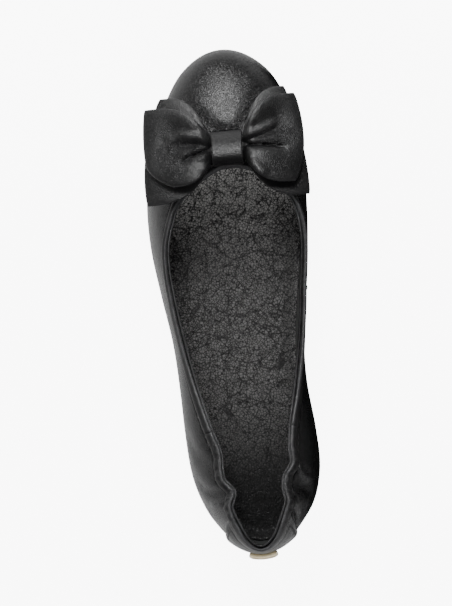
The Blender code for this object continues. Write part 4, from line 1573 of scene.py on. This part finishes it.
@dataclass
class Sheets:
    """Base of the bodies that lie on the sole: rings round a middle line of the featherline."""

    last: Last
    columns: int = 420

    def angles(self) -> Array:
        """Angles all round, mirrored about the shoe's long axis."""
        even = np.arange(self.columns) / self.columns * TURN
        return even + 0.1 * np.sin(2 * even)

    def middle_line(self, loop: Array) -> Array:
        """A line along the middle of a loop, a little shorter than it, one point for each of its own."""
        mirrored = np.concatenate([[0], np.arange(self.columns - 1, 0, -1)])
        centre = (loop + loop[mirrored]) / 2
        middle = (loop[:, 1].max() + loop[:, 1].min()) / 2
        centre[:, 1] = middle + 0.86 * (centre[:, 1] - middle)
        return centre

    def on_bed(self, loop: Array, height: Array | float) -> Array:
        """A loop laid at a height over the sole's upper face."""
        return np.column_stack([loop[:, 0], loop[:, 1], self.last.bed_height(loop[:, 1]) + height])


@dataclass
class Insole(Sheets):
    """Padded sock that fills the shoe's floor and curls up where the wall leans outwards.

    The curl table gives the height of the sock's edge over the bed, in millimetres, at angles
    round the shoe: highest at the arch and at the back of the heel. The wear_and_painted_shade
    table gives how light its grain is at shares of the length: dark at the heel, painted shade
    where the heel counter shades it, and light towards the toe, painted light that makes up for
    the shadow of the bow, partly rubbed wear as well.
    """

    inset: float = 1.9 * MM
    from_wall: float = 2.15 * MM
    seat: float = 0.35 * MM
    thickness: float = 3.2 * MM
    edge_round: float = 0.9 * MM
    crown: float = 0.5 * MM
    curl: Pairs = (
        (0.0, 7.0), (0.45, 5.0), (0.85, 4.6), (1.20, 6.4), (1.50, 7.4), (1.80, 6.6), (2.20, 4.4), (3.14, 3.4),
        (4.40, 3.6), (5.10, 4.4), (5.80, 5.0), (TURN, 7.0),
    )
    wear_and_painted_shade: Pairs = (
        (0.0, 0.0), (0.09, 0.0), (0.14, 0.03), (0.22, 0.15), (0.34, 0.21), (0.50, 0.20), (0.60, 0.27), (0.68, 0.60),
        (0.78, 1.0), (1.0, 1.0),
    )

    def build(self, wardrobe: Wardrobe) -> None:
        """Adds the sock: flat below, leaning out to its rolled edge, with a low crown above."""
        angle = self.angles()
        base = self.last.feather(angle, -self.inset)
        centre = self.middle_line(base)
        height = along_table(self.curl, angle) * MM
        rise = 1.1 * height / self.last.wall_length(angle)
        edge = self.last.offset_wall(angle, rise, np.full(angle.shape, -self.from_wall))
        rings = [self.on_bed(centre + share * (base - centre), self.seat) for share in (0.0, 0.5, 1.0)]
        for share in (0.35, 0.7):
            side = self.seat + share * (height - self.edge_round - self.seat)
            rings.append(self.on_bed(base + share * (edge - base), side))
        inwards = unit((centre - edge) * np.array([1.0, 1.0, 0.0]))
        for turn in np.linspace(0, math.pi / 2, 7):
            moved = edge + inwards * self.edge_round * (1 - math.cos(turn))
            rings.append(self.on_bed(moved, height - self.edge_round * (1 - math.sin(turn))))
        rim = rings[-1]
        for share in np.linspace(1.0, 0.0, 34)[1:]:
            raised = (height - self.thickness) * ease(np.array((share - 0.70) / 0.30)) ** 1.5
            flat = centre + share * (rim - centre)
            rings.append(self.on_bed(flat, self.thickness + self.crown * (1 - share**2) + raised))
        grid = np.array(rings)
        # The sock's rub value: darker at the heel and lighter towards the toe, partly rubbed wear and partly painted
        # light and shade.
        rub = along_table(self.wear_and_painted_shade, grid[..., 1] / self.last.length)
        piece = wardrobe.dress("padded_sock", pillow(self.last.placed(grid), rub=rub), wardrobe.sock, "insole")


@dataclass
class Outsole(Sheets):
    """Rubber sole with a lip round the upper and a shallow groove below it."""

    profile: Pairs = (
        (-0.6, 0.0), (0.05, 0.0), (0.32, 0.06), (0.55, 0.18), (0.62, 0.36), (0.60, 0.50), (0.42, 0.54),
        (0.50, 0.60), (0.95, 0.62), (1.18, 0.70), (1.20, 0.82), (1.08, 0.93), (0.80, 0.985), (0.50, 1.0), (-2.0, 1.0),
    )

    def build(self, wardrobe: Wardrobe) -> None:
        """Adds the sole: its edge follows the profile's outset in millimetres and share of the thickness."""
        profile = np.array(self.profile)
        outsets = np.concatenate([[-0.6, -0.6], profile[:, 0], [-2.0, -2.0]]) * MM
        shares = np.concatenate([[0.0, 0.6], np.ones(len(profile)), [0.5, 0.0]])
        up = np.concatenate([[0, 0], profile[:, 1], [1, 1]])
        angle = self.angles()
        grid = []
        for outset, share, height in zip(outsets, shares, -self.last.sole_thickness * (1 - up)):
            loop = self.last.feather(angle, outset)
            centre = self.middle_line(loop)
            grid.append(self.on_bed(centre + share * (loop - centre), height))
        under = (up < 0.01)[:, None] * 1.0
        rub = bell(up - 0.80, 0.12)[:, None] * 0.8 + under * 0.5
        shape = pillow(self.last.placed(np.array(grid)), rub=rub, tread=under)
        wardrobe.dress("rubber_sole", shape, wardrobe.rubber, "outsole")


@dataclass
class HeelBlock:
    """Low heel with a top lift, tapered to its tread, with a curved breast."""

    last: Last
    taper: float = 1.5 * MM
    breast_arc: float = 3.0 * MM
    steps: Pairs = (
        (0.0, 0.55), (0.02, 0.25), (0.06, 0.08), (0.12, 0.0), (0.27, 0.0), (0.295, 0.22), (0.31, 0.22), (0.335, 0.0),
        (0.60, -0.12), (0.85, -0.05), (0.95, 0.0), (1.0, 0.05),
    )

    def build(self, wardrobe: Wardrobe) -> None:
        """Adds the heel.

        Its outline is the featherline round the seat, closed by a breast that curves back.
        Each step gives a share of the height and how far the outline is drawn in there, in
        millimetres, over an even taper.
        """
        last = self.last
        side = math.acos(1 - 2 * last.heel_length / last.length)
        medial = last.feather(np.linspace(0, side, 90))[:, :2]
        lateral = last.feather(np.linspace(-side, 0, 90))[:-1, :2]
        across = np.linspace(1, -1, 41)[1:-1]
        half_way = (medial[-1] + lateral[0]) / 2
        half_width = (medial[-1, 0] - lateral[0, 0]) / 2
        breast = np.stack([
            half_way[0] + across * half_width, half_way[1] - self.breast_arc * (1 - across**2),
        ], -1)
        outline = np.concatenate([medial, breast, lateral])
        centre = np.array([half_way[0], outline[:, 1].mean()])
        reach = np.linalg.norm(outline - centre, axis=1, keepdims=True)
        height = last.heel_height - last.gap
        rings = []
        for share, inwards in self.steps:
            drawn = inwards * MM + self.taper * (1 - share)
            flat = outline + (centre - outline) / reach * drawn
            rings.append(np.column_stack([flat, np.full(len(flat), share * height)]))
        share = np.array(self.steps)[:, :1]
        shape = tube(last.placed(np.array(rings)), rub=bell(share, 0.12), tread=1.0 * (share < 0.01))
        wardrobe.dress("heel_block", shape, wardrobe.rubber, "heel")


@dataclass(frozen=True)
class Softbox:
    """A square soft light: where it stands, what it faces, its side and its power in watts."""

    name: str
    place: Triple
    aim: Triple
    size: float
    power: float
    mirrored: bool = True

    def add(self) -> None:
        """Adds the light."""
        light = bpy.data.lights.new(self.name, "AREA")
        light.shape = "SQUARE"
        light.size = self.size
        light.energy = self.power
        place = Vector(self.place)
        turn = (Vector(self.aim) - place).to_track_quat("-Z", "Y").to_matrix().to_4x4()
        holder = place_object(self.name, light, Matrix.Translation(place) @ turn)
        holder.visible_glossy = self.mirrored


@dataclass(frozen=True)
class Studio:
    """Pale floor, soft light and a camera that looks down on the shoe.

    The camera stands high above the floor beside the medial side, looks straight down but for
    a slight turn towards the shoe, and is rolled a little, as the shoe lies in the photograph.
    """

    eye: Triple = (44.6 * MM, -3.9 * MM, 1400.0 * MM)
    target: Triple = (-6.2 * MM, 0.4 * MM, 0.0)
    roll_degrees: float = 5.0
    frame_height: float = 298.5 * MM
    sensor: float = 36.0
    floor_size: float = 8.0
    floor_shade: float = 0.62
    floor_glow: tuple[float, float] = (0.12, 0.62)
    floor_glow_from: tuple[float, float] = (0.02, 0.22)
    backdrop_glow: float = 8.0
    card_corners: Pairs = ((0.030, -0.134), (0.300, 0.150))
    card_height: float = 0.6 * MM
    room_side: tuple[float, float] = (-0.75, 0.55)
    room_from: tuple[float, float] = (-0.35, 0.55)
    room_light: tuple[float, float] = (0.02, 0.235)
    softboxes: tuple[Softbox, ...] = (
        Softbox("key_softbox", (-0.08, 0.80, 1.06), (0.0, 0.06, 0.03), 0.52, 20.0),
        Softbox("fill_softbox", (0.05, -0.85, 1.05), (0.0, 0.02, 0.02), 0.95, 17.0, False),
    )

    def build(self) -> None:
        """Adds the camera, the floor, the card, the room and the lights."""
        self.add_camera()
        self.add_floor()
        self.add_card()
        self.add_room()
        for softbox in self.softboxes:
            softbox.add()

    def add_camera(self) -> None:
        """Places the camera and makes it the scene's own."""
        camera = bpy.data.cameras.new("camera")
        eye = Vector(self.eye)
        back = (eye - Vector(self.target)).normalized()
        roll = math.radians(self.roll_degrees)
        right = Vector((math.sin(roll), math.cos(roll), 0.0)).cross(back).normalized()
        turn = Matrix((right, back.cross(right), back)).transposed()
        holder = place_object("camera", camera, Matrix.Translation(eye) @ turn.to_4x4())
        camera.sensor_width = self.sensor
        camera.sensor_fit = "AUTO"
        camera.lens = self.sensor * (eye - Vector(self.target)).length / self.frame_height
        camera.clip_start = 0.01
        camera.clip_end = 20.0
        camera.dof.use_dof = False
        bpy.context.scene.camera = holder

    @staticmethod
    def add_sheet(name: str, corners: Pairs, height: float, **finish: float) -> tuple[bpy.types.Object, Nodes]:
        """Lays a flat grey sheet.

        Args:
            name: Name of the sheet and of its material.
            corners: Its lowest and its highest X and Y.
            height: Its height.
            finish: Its shade, roughness and specular level.

        Returns:
            The sheet and its material's nodes.
        """
        mesh = bpy.data.meshes.new(name)
        (left, near), (right, far) = corners
        ring = ((left, near), (right, near), (right, far), (left, far))
        mesh.from_pydata([(x, y, height) for x, y in ring], [], [(0, 1, 2, 3)])
        sheet = place_object(name, mesh)
        material = bpy.data.materials.new(name)
        material.use_nodes = True
        mesh.materials.append(material)
        nodes = Nodes(material.node_tree)
        nodes.fill(nodes.tree.nodes["Principled BSDF"], {
            "Base Color": (*[finish["shade"]] * 3, 1.0), "Roughness": finish["roughness"],
            "Specular IOR Level": finish["specular"],
        })
        return sheet, nodes

    def add_floor(self) -> None:
        """Lays a wide pale floor that glows as a lit backdrop does."""
        half = self.floor_size / 2
        corners = ((-half, -half), (half, half))
        _, nodes = self.add_sheet("pale_floor", corners, 0.0, shade=self.floor_shade, roughness=0.9, specular=0.1)
        seen = nodes.times(nodes.add("LightPath").outputs["Is Camera Ray"], self.backdrop_glow)
        place = nodes.add("SeparateXYZ", in_0=nodes.add("TexCoord").outputs["Object"])
        # Besides the backdrop glow, the floor glows for every ray, more towards the toe: a painted glow, no lamp,
        # that lights the shoe and shows in its reflections.
        glow = nodes.between(place.outputs[1], *self.floor_glow_from, *self.floor_glow)
        nodes.fill(nodes.tree.nodes["Principled BSDF"], {
            "Emission Color": (1.0, 1.0, 1.0, 1.0), "Emission Strength": nodes.plus(seen, glow),
        })

    def add_card(self) -> None:
        """Lays a black card beside the medial side, which only reflections show: a painted dark reflection that
        stands in for the shade beside the medial wall.
        """
        card, _ = self.add_sheet(
            "black_card", self.card_corners, self.card_height, shade=0.01, roughness=1.0, specular=0.0,
        )
        card.visible_camera = card.visible_shadow = card.visible_diffuse = False

    def add_room(self) -> None:
        """Fills the room with soft white light, stronger from the toe and the lateral side."""
        room = bpy.data.worlds.new("room")
        room.use_nodes = True
        nodes = Nodes(room.node_tree)
        away = nodes.add("SeparateXYZ", in_0=nodes.add("TexCoord").outputs["Generated"])
        towards = nodes.plus(*(nodes.times(away.outputs[k], share) for k, share in enumerate(self.room_side)))
        nodes.fill(room.node_tree.nodes["Background"], {
            "Color": (1.0, 1.0, 1.0, 1.0), "Strength": nodes.between(towards, *self.room_from, *self.room_light),
        })
        bpy.context.scene.world = room


def main() -> None:
    """Builds the scene piece by piece."""
    logging.basicConfig(level=logging.INFO, format="%(message)s")
    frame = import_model()
    LOG.info("loaded %d nodes", len(frame["nodes"]))
    last = Last()
    last.seat()
    band_drop = BandDrop()
    wardrobe = Wardrobe()
    parts = (
        LeatherUpper(last, band_drop), SmoothBinding(last, band_drop), GatheredCollar(last, band_drop),
        QuarterLining(last, band_drop), HeelTab(last, band_drop), HeelPlate(last), Bow(last), Insole(last),
        Outsole(last), HeelBlock(last),
    )
    for part in parts:
        part.build(wardrobe)
        LOG.info("built %s", type(part).__name__)
    Studio().build()


if __name__ == "__main__":
    main()
